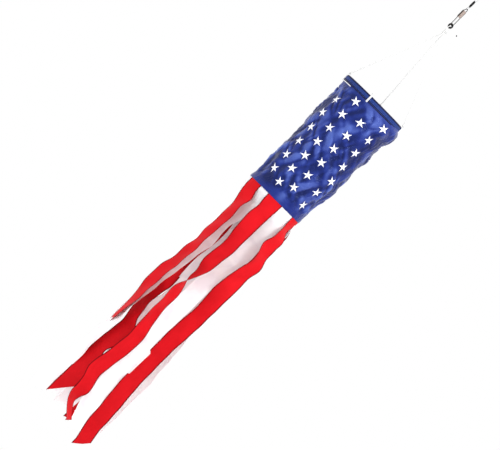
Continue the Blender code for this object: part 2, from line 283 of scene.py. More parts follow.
def metal_material(name, colour, dark, roughness, metallic=1.0, specular=0.5):
    """Drawn or plated metal, with worn and dull patches."""
    made, tree, shader = new_material(name, colour, roughness, metallic)
    shader.inputs["Specular IOR Level"].default_value = specular
    place = node(tree, "ShaderNodeTexCoord").outputs["Object"]
    wear = noise(tree, place, Scale=420.0, Detail=5.0)
    paint(tree, shader, toned(tree, wear, (0.35, dark), (0.65, colour)))
    gloss(tree, shader, wear, roughness, 0.12)
    bump(tree, shader, (wear, 0.1, 0.1 * MM))
    return made


def thread_material(name, colour, shade, rate):
    """Satin stitches: fine parallel threads across the cloth's first metric coordinate."""
    made, tree, shader = new_material(name, colour, 0.45, sheen=0.3)
    cloth = node(tree, "ShaderNodeUVMap", uv_map="cloth").outputs["UV"]
    lines = thread_waves(tree, cloth, "X", rate, Distortion=0.6)
    # Painted shade: darker between the threads, in the grooves.
    paint(tree, shader, toned(tree, lines, (0.0, shade), (0.6, colour)))
    bump(tree, shader, (lines, 0.5, 0.2 * MM))
    return made


# ---------------------------------------------------------------- mesh helpers

STRAND_RELIEF = 0.08  # how deep the grooves between a cord's strands are, as a share of its radius


def link(name, mesh, look, body=None, replaces=(), smooth=True):
    """The visible piece: its look, the body it rides and the CAD nodes it stands for. Its slot has the
    look's name."""
    made = bpy.data.objects.new(name, mesh)
    bpy.context.scene.collection.objects.link(made)
    mesh.materials.append(LOOKS[look])
    if smooth:
        mesh.shade_smooth()
    if body:
        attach(made, body)
    if replaces:
        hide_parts(*replaces)
    return made


def thicken(piece, thickness):
    """Gives a sheet its cloth's thickness, half to each side."""
    wall = piece.modifiers.new("cloth", "SOLIDIFY")
    wall.thickness = thickness
    wall.offset = 0


def add_cloth_uv(mesh, values):
    """values holds each vertex's metric cloth coordinate."""
    corners = np.empty(len(mesh.loops), np.int32)
    mesh.loops.foreach_get("vertex_index", corners)
    add_corner_uv(mesh, np.asarray(values)[corners])


def add_corner_uv(mesh, values):
    """values holds the metric cloth coordinate of each corner of each face."""
    layer = mesh.uv_layers.new(name="cloth")
    layer.data.foreach_set("uv", np.asarray(values, np.float32).ravel())


def corner_grid(rows, sides, around):
    """The numbers of each quad's four corners, in a grid with this many points in each row."""
    corner = np.arange(rows - 1)[:, None] * sides + np.arange(around)[None, :]
    return np.stack([corner, corner + 1, corner + sides + 1, corner + sides], -1).reshape(-1, 4)


def loft(name, rings, uv=None, caps=True, closed=False):
    """A skin over rings of points, rings[row][side]. caps close the first and the last ring, and
    closed joins the last ring to the first. uv has one column more than a ring, for its closing
    column, and it has one row more where the last ring is joined to the first."""
    rings = np.asarray(rings, float)
    rows, sides = rings.shape[:2]
    last = rows + 1 if closed else rows
    corners = corner_grid(last, sides + 1, sides)
    row = corners // (sides + 1) % rows
    side = corners % (sides + 1) % sides
    faces = (row * sides + side).tolist()
    capped = caps and not closed
    if capped:
        faces.append(list(range(sides))[::-1])
        faces.append([(rows - 1) * sides + i for i in range(sides)])
    mesh = bpy.data.meshes.new(name)
    mesh.from_pydata(rings.reshape(-1, 3).tolist(), [], faces)
    if uv is not None:
        uv = np.asarray(uv, float)
        values = uv.reshape(-1, 2)[corners].reshape(-1, 2)
        if capped:
            values = np.concatenate([values, uv[0, :sides][::-1], uv[-1, :sides]])
        add_corner_uv(mesh, values)
    return mesh


def outwards(mesh):
    """Turns a closed mesh's faces outwards."""
    shape = bmesh.new()
    shape.from_mesh(mesh)
    bmesh.ops.recalc_face_normals(shape, faces=shape.faces)
    shape.to_mesh(mesh)
    shape.free()
    return mesh


def joined(name, meshes):
    """Several meshes in one, keeping their cloth coordinates."""
    shape = bmesh.new()
    for mesh in meshes:
        shape.from_mesh(mesh)
        bpy.data.meshes.remove(mesh)
    made = bpy.data.meshes.new(name)
    shape.to_mesh(made)
    shape.free()
    return made


def spline(points, per_span):
    """A Catmull-Rom curve through the points."""
    points = np.asarray(points, float)
    ends = np.vstack([2 * points[0] - points[1], points, 2 * points[-1] - points[-2]])
    t = np.arange(per_span)[:, None] / per_span
    spans = [
        0.5 * (2 * b + (c - a) * t + (2 * a - 5 * b + 4 * c - d) * t**2
               + (3 * b - a - 3 * c + d) * t**3)
        for a, b, c, d in zip(ends, ends[1:], ends[2:], ends[3:])
    ]
    return np.vstack([*spans, points[-1]])


def unit(vectors):
    """The vectors at length 1."""
    vectors = np.asarray(vectors, float)
    return vectors / np.linalg.norm(vectors, axis=-1, keepdims=True)


def distances(path):
    """How far along the path each of its points is."""
    return np.concatenate([[0], np.cumsum(np.linalg.norm(np.diff(path, axis=0), axis=1))])


def evenly(path, step):
    """The path again, with points this far apart."""
    path = np.asarray(path, float)
    along = distances(path)
    at = np.linspace(0, along[-1], max(2, int(round(along[-1] / step)) + 1))
    return np.stack([np.interp(at, along, path[:, k]) for k in range(3)], -1)


def frames_along(path):
    """Two directions across the path at each point, carried along it without twisting."""
    ahead = unit(np.gradient(path, axis=0))
    side = [unit(np.cross(ahead[0], (0.3, 0.5, 0.8)))]
    for direction in ahead[1:]:
        side.append(unit(side[-1] - direction * (side[-1] @ direction)))
    side = np.array(side)
    return side, np.cross(ahead, side)


def rings_round(path, side, up, radii, sides):
    """Rings round the path's points, in the plane of two directions at each point."""
    angle = (np.arange(sides) * TURN / sides)[None, :, None]
    side = np.broadcast_to(side, path.shape)[:, None, :]
    up = np.broadcast_to(up, path.shape)[:, None, :]
    return path[:, None, :] + np.asarray(radii)[..., None] * (np.cos(angle) * side + np.sin(angle) * up)


def tube(name, path, radius, sides=10, lobes=0, pitch=7 * MM, taper=None):
    """A round tube along a path. With lobes it is a laid cord, whose strands wind round it."""
    path = np.asarray(path, float)
    along = distances(path)[:, None]
    radii = np.full((len(path), sides), float(radius))
    if lobes:
        angle = np.arange(sides)[None, :] * TURN / sides
        strand = np.abs(np.cos(lobes / 2 * (angle - TURN * along / pitch)))
        radii *= 1 - STRAND_RELIEF + STRAND_RELIEF * strand
    if taper is not None:
        radii *= np.asarray(taper)[:, None]
    rings = rings_round(path, *frames_along(path), radii, sides)
    around = np.arange(sides + 1)[None, :] * TURN / sides * radius
    return outwards(loft(name, rings, np.stack(np.broadcast_arrays(around, along), -1)))


def turned_rings(outline, sides, height):
    """Rings round Z, from an outline of (radius, height)."""
    angle = np.arange(sides) * TURN / sides
    return [[(r * math.cos(a), r * math.sin(a), height + h) for a in angle] for r, h in outline]


def smoothstep(value):
    value = np.clip(value, 0, 1)
    return value * value * (3 - 2 * value)


def front_angle(radius, angle, height):
    """Points at an angle round Z, measured from -Y towards +X."""
    parts = (radius * np.sin(angle), -radius * np.cos(angle), height)
    return np.stack(np.broadcast_arrays(*parts), -1).astype(float)


# ---------------------------------------------------------------- looks


def make_looks():
    black = (0.010, 0.010, 0.011)
    made = (
        metal_material("steel_wire", (0.55, 0.55, 0.56), (0.30, 0.30, 0.32), 0.3),
        metal_material("black_metal", black, (0.006, 0.006, 0.006), 0.5, 0.0, 0.1),
        metal_material("dark_wire", (0.018, 0.013, 0.011), (0.008, 0.006, 0.005), 0.45, 0.0, 0.2),
        clasp_material(),
        metal_material("black_ring", black, (0.005, 0.005, 0.005), 0.45, 0.0, 0.1),
        cloth_material("white_cord", (0.68, 0.68, 0.675), (0.63, 0.63, 0.625), 0.85, 0.0, 2200),
        metal_material("burnt_cord", (0.012, 0.010, 0.009), (0.005, 0.004, 0.004), 0.6, 0.0, 0.1),
        header_material(),
        blue_material(),
        cloth_material("hem_cloth", (0.022, 0.032, 0.17), (0.016, 0.024, 0.13), 0.6, 0.2),
        # The threads' shade colours are painted shade between the threads.
        thread_material("blue_thread", (0.030, 0.045, 0.21), (0.012, 0.018, 0.10), 1600),
        thread_material("star_thread", (0.88, 0.885, 0.90), (0.50, 0.52, 0.62), 1500),
        # The streamers' shade colours are painted shade, and their edge colours paint the rolled hems
        # darker, partly as painted shade.
        ribbon_material("red_cloth", (0.56, 0.0055, 0.0105), (0.50, 0.0048, 0.0090),
                        (0.15, 0.002, 0.004), 0.05, 0.0),
        ribbon_material("white_cloth", (0.93, 0.91, 0.925), (0.80, 0.77, 0.82),
                        (0.87, 0.845, 0.87), 0.3, 0.55),
    )
    # The CAD frame's own materials can hold the same names, and then these end in a number.
    LOOKS.update({look.name.split(".")[0]: look for look in made})


def clasp_material():
    """Stamped sheet, darker along its rolled side and its open edges."""
    made = metal_material("stamped_clasp", (0.42, 0.34, 0.30), (0.22, 0.17, 0.15), 0.4, 0.7)
    tree = made.node_tree
    shader = tree.nodes["Principled BSDF"]
    tone = shader.inputs["Base Color"].links[0].from_socket
    place = node(tree, "ShaderNodeTexCoord").outputs["Object"]
    across = dot_product(tree, place, (math.cos(SNAP_TURN), math.sin(SNAP_TURN), 0))
    share = spread(tree, across, From_Min=-CLASP_CLOSED_SIDE, From_Max=CLASP_OPEN_SIDE)
    darker_sides = toned(tree, share, (0.0, (0.03, 0.03, 0.03)), (0.16, (0.05, 0.045, 0.04)),
                    (0.26, PURE_WHITE), (0.88, PURE_WHITE), (0.97, (0.08, 0.07, 0.065)))
    paint(tree, shader, multiplied(tree, tone, darker_sides))
    return made


def header_material():
    """The band: painted shade darkens its folded edges round a paler middle, and a painted shaded line
    runs along the upper row of stitches.
    """
    made, tree, shader = new_material("header_cloth", (0.03, 0.05, 0.2), 0.6)
    shader.inputs["Specular IOR Level"].default_value = 0.15
    cloth, weave = woven(tree, 900)
    across = node(tree, "ShaderNodeSeparateXYZ", Vector=cloth)
    share = spread(tree, across.outputs["Y"], From_Max=BAND_HEIGHT)
    # Painted shade: dark along the folded edges, and a darker line in the groove of the upper row of
    # stitches.
    dark = (0.0025, 0.005, 0.042)
    middle = (0.010, 0.034, 0.180)
    line = (0.006, 0.016, 0.085)
    tone = toned(tree, share, (0.22, dark), (0.30, middle), (0.47, middle), (0.53, line),
                 (0.59, middle), (0.66, middle), (0.74, dark))
    mottle = noise(tree, cloth, Scale=160.0, Detail=3.0)
    shade = toned(tree, mottle, (0.3, (0.82, 0.82, 0.84)), (0.7, PURE_WHITE))
    paint(tree, shader, multiplied(tree, tone, shade))
    bump(tree, shader, (mottle, 0.3, 0.6 * MM), (weave, 0.25, 0.2 * MM))
    return made


def blue_material():
    """Blue satin: creased and mottled, with painted shade in the hollows of its folds and in broad darker
    patches, painted sheen on their crests and in broad paler patches, and painted shade round each star,
    where it pulls the cloth in.
    """
    made, tree, shader = new_material("blue_cloth", (0.02, 0.03, 0.2), 0.36)
    shader.inputs["Specular IOR Level"].default_value = 0.32
    shader.inputs["Specular Tint"].default_value = (0.38, 0.52, 1.0, 1)
    cloth, weave = woven(tree, 1500)
    mottle = noise(tree, cloth, Scale=16.0, Detail=3.0, Distortion=0.6)
    tone = toned(tree, mottle, (0.3, (0.0055, 0.0110, 0.118)), (0.7, (0.0140, 0.0285, 0.190)))
    # Painted shade darkens the hollows of the folds, and a painted sheen makes their crests paler and
    # greyer, as do the broad painted patches.
    painted_fold_light = node(tree, "ShaderNodeAttribute", attribute_name="painted_fold_light").outputs["Fac"]
    fold_shade_and_sheen = toned(tree, painted_fold_light, (0.12, (0.22, 0.25, 0.40)), (0.5, (0.95, 0.95, 1.0)),
                  (0.92, (4.8, 3.8, 1.9)))
    # Painted shade round each star: the cloth there is mixed towards a dark blue.
    star_pull_shade = node(tree, "ShaderNodeAttribute", attribute_name="star_pull_shade").outputs["Fac"]
    star_shade_mix = toned(tree, star_pull_shade, (0.25, (0.0, 0.0, 0.0)), (1.0, (0.85, 0.85, 0.85)))
    paint(tree, shader, mixed(tree, star_shade_mix, multiplied(tree, tone, fold_shade_and_sheen), (0.006, 0.008, 0.085)))
    creases = noise(tree, cloth, Scale=48.0, Detail=4.0, Distortion=1.6)
    bump(tree, shader, (creases, 0.7, 3.6 * MM), (weave, 0.1, 0.1 * MM))
    return made


def ribbon_material(name, colour, shade, edge, specular, through):
    """Streamer cloth, mottled with painted shade, with a rolled hem along both edges painted darker for
    its thicker cloth and for painted shade.
    """
    made, tree, shader = new_material(name, colour, 0.55)
    shader.inputs["Specular IOR Level"].default_value = specular
    # Some of the light on one side of the thin cloth comes through to the other.
    shader.inputs["Subsurface Weight"].default_value = through
    shader.inputs["Subsurface Radius"].default_value = PURE_WHITE
    shader.inputs["Subsurface Scale"].default_value = 3.0 * MM
    cloth, weave = woven(tree, 1300)
    # Painted shade: the mottle's darker patches stand in for the shading of soft folds.
    mottle = noise(tree, cloth, Scale=24.0, Detail=3.0, Distortion=0.5)
    tone = toned(tree, mottle, (0.36, shade), (0.6, colour))
    # The rolled hem is painted darker: partly its doubled cloth and stitching, partly painted shade along
    # the roll.
    across = node(tree, "ShaderNodeSeparateXYZ", Vector=cloth).outputs["X"]
    side = node(tree, "ShaderNodeMath", operation="ABSOLUTE", Value=across).outputs["Value"]
    hem = spread(tree, side, From_Min=RIBBON_WIDTH / 2 - RIBBON_HEM,
                 From_Max=RIBBON_WIDTH / 2 - 0.55 * RIBBON_HEM)
    paint(tree, shader, mixed(tree, hem, tone, edge))
    creases = noise(tree, cloth, Scale=42.0, Detail=4.0, Distortion=1.5)
    bump(tree, shader, (creases, 0.3, 1.2 * MM), (weave, 0.1, 0.1 * MM))
    return made


# ---------------------------------------------------------------- swivel, snap and ring

WIRE = 0.6 * MM
EYE_RADIUS = 3.5 * MM
SHANK = 0.65 * MM
TOP_EYE_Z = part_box("swivel_top_eye")[1].z - EYE_RADIUS - WIRE
BOTTOM_EYE_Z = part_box("swivel_bottom_eye")[0].z + EYE_RADIUS + WIRE
SNAP_TURN = math.radians(38)
SNAP_WIRE = 0.8 * MM
SNAP_TOP_RADIUS = 2.9 * MM
SNAP_LOWER_RADIUS = 4.0 * MM
GATE_TOP_SIDE = 3.2 * MM
# The snap's closed leg bellies out: each place is to the side and below the origin, in mm.
SNAP_BELLY = (
    (4.3, 36.2), (5.4, 39.2), (5.8, 43.0), (5.6, 48.0), (5.0, 54.0), (4.3, 61.0), (3.95, 68.0),
)
STUB_IN_CLASP = 1.3 * MM
FRAME_END_RISE = 1.0 * MM
GATE_GAP = 0.5 * MM
GATE_DOME = 0.36 * MM
GATE_BOW = 0.25 * MM
CLASP_DEPTH = 2.7 * MM
CLASP_SHEET = 0.4 * MM
CLASP_CLOSED_SIDE = 7.1 * MM
CLASP_OPEN_SIDE = 4.2 * MM
RING_SECTION = 2.0 * MM
RING_TURN = math.radians(-36)
TOP_SHANK_END = -10.8 * MM
BOTTOM_SHANK_END = -21.0 * MM
BARREL_MM = 2.6  # the radius that the barrel's outline is written for
BARREL_BORE = 0.95
BARREL_OUTLINE = (
    (BARREL_BORE, 0.0), (1.75, 0.0), (1.95, 0.12), (2.25, 0.7), (2.42, 1.3), (2.42, 2.0),
    (2.22, 2.25), (2.22, 2.55), (2.45, 2.8), (BARREL_MM, 3.4), (BARREL_MM, 5.2),
)


def turned_path(points, turn):
    """Points in the X-Z plane, turned round Z."""
    points = np.asarray(points, float)
    return np.stack(
        [points[:, 0] * math.cos(turn), points[:, 0] * math.sin(turn), points[:, 1]], -1
    )


def arc(centre, radius, start, end, count):
    angles = np.linspace(start, end, count)
    return np.stack([centre[0] + radius * np.cos(angles), centre[1] + radius * np.sin(angles)], -1)


def make_eye(node_name, centre_z, shank_end, turn, body):
    """One bent wire: round the eye, then down its shank, with a binding turn at the shank's root."""
    towards = 1 if shank_end > centre_z else -1
    start = math.radians(90 * towards + 14)
    ring = arc((0, centre_z), EYE_RADIUS, start, start + TURN - math.radians(28), 44)
    root = centre_z + towards * EYE_RADIUS
    path = turned_path(ring, turn)
    shank = [(0, 0, root + towards * 0.1 * MM), (0, 0, shank_end)]
    turns = np.linspace(0, TURN * 1.6, 20)
    wrap = [
        (1.0 * MM * math.cos(a), 1.0 * MM * math.sin(a), root + towards * (0.15 + 0.2 * a / TURN) * MM)
        for a in turns
    ]
    head = [(0.0, 0.0), (1.3, 0.0), (1.4, -0.3), (1.4, -0.9), (0.7, -1.2)]
    if towards < 0:
        head = [(r, -h) for r, h in reversed(head)]
    head = [(r * MM, h * MM) for r, h in head]
    mesh = joined(node_name + "_wire", [
        tube("ring", path, WIRE, 12),
        tube("shank", evenly(shank, 0.4 * MM), SHANK, 12),
        tube("wrap", wrap, 0.35 * MM, 8),
        outwards(loft("head", turned_rings(head, 16, shank_end))),
    ])
    return link(node_name + "_wire", mesh, "steel_wire", body, [node_name])


def make_barrel():
    """A hollow shell, with a lip inside each end that holds a shank's head."""
    low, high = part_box("swivel_barrel")
    length = high.z - low.z
    scale = high.x / BARREL_MM
    outline = [(r * scale, -h * MM) for r, h in BARREL_OUTLINE]
    outline += [(r * scale, h * MM - length) for r, h in reversed(BARREL_OUTLINE)]
    outline += [(BARREL_BORE * scale, 1.3 * MM - length), (1.7 * scale, 1.8 * MM - length)]
    outline += [(1.7 * scale, -1.8 * MM), (BARREL_BORE * scale, -1.3 * MM)]
    mesh = outwards(loft("barrel_shell", turned_rings(outline, 40, high.z), closed=True))
    made = link("barrel_shell", mesh, "black_metal", "barrel", ["swivel_barrel"])
    edge = made.modifiers.new("edge", "BEVEL")
    edge.width = 0.1 * MM
    edge.segments = 2
    edge.limit_method = "ANGLE"
    return made


def make_snap():
    """One bent wire: a stub in the clasp, a loop through the swivel's eye, a bellied leg and the lower
    loop that holds the ring. The gate closes that loop and ends inside the clasp."""
    low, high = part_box("snap_frame")
    top_centre = high.z - SNAP_WIRE - SNAP_TOP_RADIUS
    low_centre = low.z + SNAP_WIRE + SNAP_LOWER_RADIUS
    stub_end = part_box("snap_clasp")[1].z - STUB_IN_CLASP
    frame_end = low_centre + FRAME_END_RISE
    top_bend = arc((0, top_centre), SNAP_TOP_RADIUS, 0, math.pi, 13)
    low_bend = arc((0, low_centre), SNAP_LOWER_RADIUS, math.pi, TURN, 13)
    belly = [(-across * MM, -down * MM) for across, down in SNAP_BELLY]
    leg = spline([top_bend[-1], *belly, low_bend[0]], 6)
    line = np.concatenate([[(SNAP_TOP_RADIUS, stub_end)], top_bend[:-1], leg, low_bend[1:],
                           [(SNAP_LOWER_RADIUS, frame_end)]])
    frame_path = evenly(turned_path(line, SNAP_TURN), 0.5 * MM)
    mesh = tube("snap_wire", frame_path, SNAP_WIRE, 14)
    link("snap_wire", mesh, "dark_wire", "snap", ["snap_frame"])
    # The gate bows a little.
    foot = frame_end + GATE_GAP
    gate_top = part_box("snap_gate")[1].z - 0.1 * MM
    share = np.linspace(0, 1, 40)
    bow = GATE_BOW * np.sin(math.pi * share)
    across = SNAP_LOWER_RADIUS + (GATE_TOP_SIDE - SNAP_LOWER_RADIUS) * share + bow
    gate = np.stack([across, foot + (gate_top - foot) * share], -1)
    # Its foot is a dome, which turns above the end of the frame without touching it.
    dome = np.linspace(math.pi / 2, 0, 7)[:-1]
    down = foot - GATE_DOME * np.sin(dome)
    gate = np.concatenate([np.stack([np.full(len(dome), SNAP_LOWER_RADIUS), down], -1), gate])
    taper = np.concatenate([np.maximum(np.cos(dome), 0.1), np.ones(len(share))])
    mesh = tube("gate_wire", turned_path(gate, SNAP_TURN), SNAP_WIRE, 14, taper=taper)
    link("gate_wire", mesh, "dark_wire", "gate", ["snap_gate"])
    make_clasp()


def make_clasp():
    """A folded sheet channel: rolled along its closed side, dished in the middle, open to the gate."""
    low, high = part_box("snap_clasp")
    height = high.z - low.z
    half = CLASP_DEPTH / 2
    rings = []
    for share in np.linspace(0, 1, 48):
        ends = smoothstep(share / 0.08) * smoothstep((1 - share) / 0.08)
        trim = 0.5 * MM * (1 - ends)
        nose_centre = trim - CLASP_CLOSED_SIDE + half
        across = np.linspace(CLASP_OPEN_SIDE - trim, nose_centre, 14)
        dish = 0.25 * MM * math.sin(math.pi * share) ** 2 * np.sin(math.pi * np.linspace(0, 1, 14))
        rib = 0.22 * MM * np.exp(-(((across + 1.2 * MM) / (1.1 * MM)) ** 2)) * ends
        outer = half - dish + rib
        bend = np.linspace(math.pi / 2, math.pi * 1.5, 9)[1:-1]
        nose = [(nose_centre + half * math.cos(a), half * math.sin(a)) for a in bend]
        skin = list(zip(across, outer)) + nose + list(zip(across[::-1], -outer[::-1]))
        inner = [
            (x + (CLASP_SHEET if x < nose_centre else 0), y * (1 - CLASP_SHEET / half)) for x, y in skin
        ]
        z = high.z - height * share
        rings.append([
            (x * math.cos(SNAP_TURN) - y * math.sin(SNAP_TURN),
             x * math.sin(SNAP_TURN) + y * math.cos(SNAP_TURN), z)
            for x, y in skin + inner[::-1]
        ])
    mesh = outwards(loft("clasp_sheet", rings))
    link("clasp_sheet", mesh, "stamped_clasp", "snap", ["snap_clasp"])


def make_ring():
    low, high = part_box("tie_ring")
    radius = (high.z - low.z) / 2 - RING_SECTION
    centre = (low.z + high.z) / 2
    circle = arc((0, centre), radius, 0, TURN, 65)[:-1]
    path = turned_path(circle, RING_TURN)
    ahead = unit(np.roll(path, -1, 0) - np.roll(path, 1, 0))
    outward = unit(path - np.array((0, 0, centre)))
    rings = rings_round(path, outward, np.cross(ahead, outward), RING_SECTION, 24)
    mesh = outwards(loft("ring_moulding", rings, closed=True))
    link("ring_moulding", mesh, "black_ring", "ring", ["tie_ring"])


# ---------------------------------------------------------------- bridle

CORD_RADIUS = 1.0 * MM
CORD_GAP = 0.3 * MM
STRANDS = 3
LEG_OUTSIDE = BAND_RADIUS + CORD_GAP + CORD_RADIUS
LEG_END_INSIDE = 1.8  # mm
HITCH_PITCH = 2.0 * MM
HITCH_RADIUS = 1.9 * MM
BEAD_RADIUS = 1.85 * MM
LEGS_START = -106.6 * MM
LEGS_START_RADIUS = 1.75 * MM
FIRST_LEG_TURN = -10.0
LEG_NAMES = ("front", "right", "back", "left")
RUN_START = -98.5  # the left leg runs on along the band's lower edge between these angles
RUN_END = -48.0
RING_LOW_Z = joint_point("sock_swing").z
TAIL_POINTS = (
    (3.4, -3.7, -100.5),
    (6.6, -7.7, -100.1),
    (11.5, -10.2, -98.1),
    (16.8, -9.4, -95.0),
    (21.6, -6.0, -91.3),
    (25.2, -0.8, -88.0),
)


def leg_path(index):
    """From the knot straight to the mouth, over the band's outside and in under its lower edge."""
    angle = math.radians(FIRST_LEG_TURN + 90 * index)
    below = MOUTH_Z - BAND_HEIGHT - CORD_GAP - CORD_RADIUS
    start = front_angle(LEGS_START_RADIUS, angle, LEGS_START)
    # How far inside the leg's outermost place, and the height.
    corner = [
        (1.5, MOUTH_Z + 5.5 * MM),
        (0.4, MOUTH_Z + 2.5 * MM),
        (0.0, MOUTH_Z - 0.5 * MM),
        (0.0, below + 2.0 * MM),
        (0.5, below + 0.4 * MM),
        (LEG_END_INSIDE, below),
    ]
    points = [front_angle(LEG_OUTSIDE - inside * MM, angle, height) for inside, height in corner]
    straight = list(start + (points[0] - start) * np.arange(20)[:, None] / 20)
    if LEG_NAMES[index] == "left":
        run = np.radians(np.linspace(RUN_START, RUN_END, 21))
        points = points[:-2] + list(front_angle(LEG_OUTSIDE, run, below))
        points.append(front_angle(LEG_OUTSIDE - LEG_END_INSIDE * MM, run[-1], below))
    return evenly(spline(straight + points, 4), 0.9 * MM)


def make_legs():
    for index, name in enumerate(LEG_NAMES):
        path = leg_path(index)
        mesh = tube("bridle_leg_" + name, path, CORD_RADIUS, 10, STRANDS)
        hitch = make_hitch(index, name)
        piece = link("bridle_leg_" + name, mesh, "white_cord", "sock", ["bridle_cord_" + name])


def make_hitch(index, name):
    """The cord's way back up over the band beside itself, and the hitch that ties it to the leg."""
    angle = math.radians(FIRST_LEG_TURN + 90 * index)
    beside = 2.1 * MM / BAND_RADIUS
    low = MOUTH_Z - BAND_HEIGHT - CORD_GAP
    # How far inside the leg, how far beside it, and the height.
    back = [
        (1.6, 1.0, low - 1.0 * MM),
        (0.3, 1.0, low - 0.4 * MM),
        (0.0, 1.0, low + 2.0 * MM),
        (0.0, 1.0, MOUTH_Z - 3.0 * MM),
        (0.0, 0.9, MOUTH_Z + 0.5 * MM),
        (0.9, 0.6, MOUTH_Z + 3.2 * MM),
        (1.3, 0.3, MOUTH_Z + 5.0 * MM),
    ]
    *back, centre = [
        front_angle(LEG_OUTSIDE - inside * MM, angle + beside * share, height)
        for inside, share, height in back
    ]
    meshes = [tube("back_run", evenly(spline(back, 6), 0.9 * MM), CORD_RADIUS, 10, STRANDS)]
    lean = unit(front_angle(-81 * MM, angle, 205 * MM))
    side = unit(np.cross(lean, (0.0, 0.0, 1.0)))
    turns = np.linspace(0, TURN * 2.3, 56)[:, None]
    winding = side * np.cos(turns) + np.cross(side, lean) * np.sin(turns)
    coil = centre + lean * (turns / TURN - 1.1) * HITCH_PITCH + winding * HITCH_RADIUS
    meshes.append(tube("coil", coil, 0.9 * CORD_RADIUS, 10, STRANDS))
    hitch = joined("hitch", meshes)
    return link("bridle_hitch_" + name, hitch, "white_cord", "sock")


def make_knot():
    """A loop of cord through the ring, bound under it by a wound knot."""
    turn = RING_TURN + math.pi / 2
    loop_radius = RING_SECTION + 1.15 * MM
    meshes = []
    loop = arc((0, RING_LOW_Z), loop_radius, math.radians(-70), math.radians(250), 40)
    path = turned_path(loop, turn)
    foot = np.array((0, 0, RING_LOW_Z - 7.5 * MM))
    path = np.vstack([foot + (path[0] - foot) * 0.35, path, foot + (path[-1] - foot) * 0.35])
    meshes.append(tube("loop", evenly(spline(path, 3), 0.7 * MM), CORD_RADIUS * 0.8, 10, STRANDS))
    top = RING_LOW_Z - 5.2 * MM
    low = LEGS_START + 0.8 * MM
    swell = (2.6 + 0.7 * np.sin(np.linspace(0.12, 0.92, 150) * math.pi)) * MM
    turns = np.linspace(0, TURN * 4.6, 150) + math.pi / 2
    winding = front_angle(swell, turns, np.linspace(top, low, 150))
    meshes.append(tube("winding", winding, 1.15 * CORD_RADIUS, 10, STRANDS))
    # One more turn crosses the winding from its top to its bottom.
    across = np.linspace(0, TURN * 0.9, 40) - 2.2 + math.pi / 2
    crossing = front_angle(3.5 * MM, across, np.linspace(top - 2.0 * MM, low + 1.0 * MM, 40))
    meshes.append(tube("crossing", crossing, 0.95 * CORD_RADIUS, 10, STRANDS))
    core = [(0.0, 0.0, top + 1.5 * MM), (0.0, 0.0, low - 1.0 * MM)]
    meshes.append(tube("core", evenly(core, 0.8 * MM), 2.3 * MM, 12, 4, 20 * MM))
    link("knot_cords", joined("knot_cords", meshes), "white_cord", "sock", ["bridle_knot"])


def make_tail():
    path = evenly(spline(np.array(TAIL_POINTS) * MM, 8), 0.7 * MM)
    mesh = tube("bridle_end", path, CORD_RADIUS, 10, STRANDS)
    piece = link("bridle_end", mesh, "white_cord", "sock", ["bridle_tail"])
    # The cut end is melted into a dark bead, so that the cord doesn't fray.
    tip = evenly(path[-7:], 0.3 * MM)
    swell = np.sqrt(np.clip(1 - np.linspace(-1, 1, len(tip)) ** 2, 0.12, 1))
    bead = tube("bridle_end_bead", tip, BEAD_RADIUS, 14, taper=swell)
    bead = link("bridle_end_bead", bead, "burnt_cord", "sock")


# ---------------------------------------------------------------- mouth: hoop, ferrule and header band

HOOP_RADIUS = 79.5 * MM
HOOP_WIRE = 1.1 * MM
FERRULE_TURN = 150.0
FERRULE_RADIUS = 1.8 * MM
BAND_CLOTH = 0.8 * MM  # what the folded band's outside keeps for its cloth
CLOTH_THICKNESS = 0.6 * MM
BAND_COLUMNS = 360
BAND_ROWS = (8.0 * MM, 12.6 * MM)  # the drops of its two rows of stitches
STITCH_SHARE = 0.72  # how much of a stitch's pitch shows as thread


def make_hoop():
    height = (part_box("hoop_wire")[0].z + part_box("hoop_wire")[1].z) / 2
    angles = np.linspace(0, TURN, 181)[:-1]
    path = front_angle(HOOP_RADIUS, angles, height)
    rings = rings_round(path, front_angle(1.0, angles, 0.0), (0.0, 0.0, 1.0), HOOP_WIRE, 14)
    mesh = outwards(loft("hoop_steel", rings, closed=True))
    link("hoop_steel", mesh, "steel_wire", "sock", ["hoop_wire"])
    # The ferrule is a crimped sleeve: pinched at three places, with rolled ends.
    angles = np.radians(FERRULE_TURN + np.linspace(-7, 7, 61))
    path = front_angle(HOOP_RADIUS, angles, height)
    share = np.linspace(0, 1, 61)
    pinch = 1 - 0.07 * np.abs(np.sin(3 * math.pi * share)) ** 6
    pinch[0] = pinch[-1] = 0.86
    pinch[1] = pinch[-2] = 0.95
    mesh = tube("ferrule_sleeve", path, FERRULE_RADIUS, 18, taper=pinch)
    link("ferrule_sleeve", mesh, "steel_wire", "sock", ["hoop_ferrule"])


def ripple(angle, seed, size, waves):
    """A smooth wavy offset round the mouth, the same on each run."""
    random = np.random.default_rng(seed)
    total = np.zeros_like(angle)
    for wave in waves:
        total += np.cos(wave * angle + random.uniform(0, TURN)) * random.uniform(0.5, 1.0)
    return size * total / len(waves)


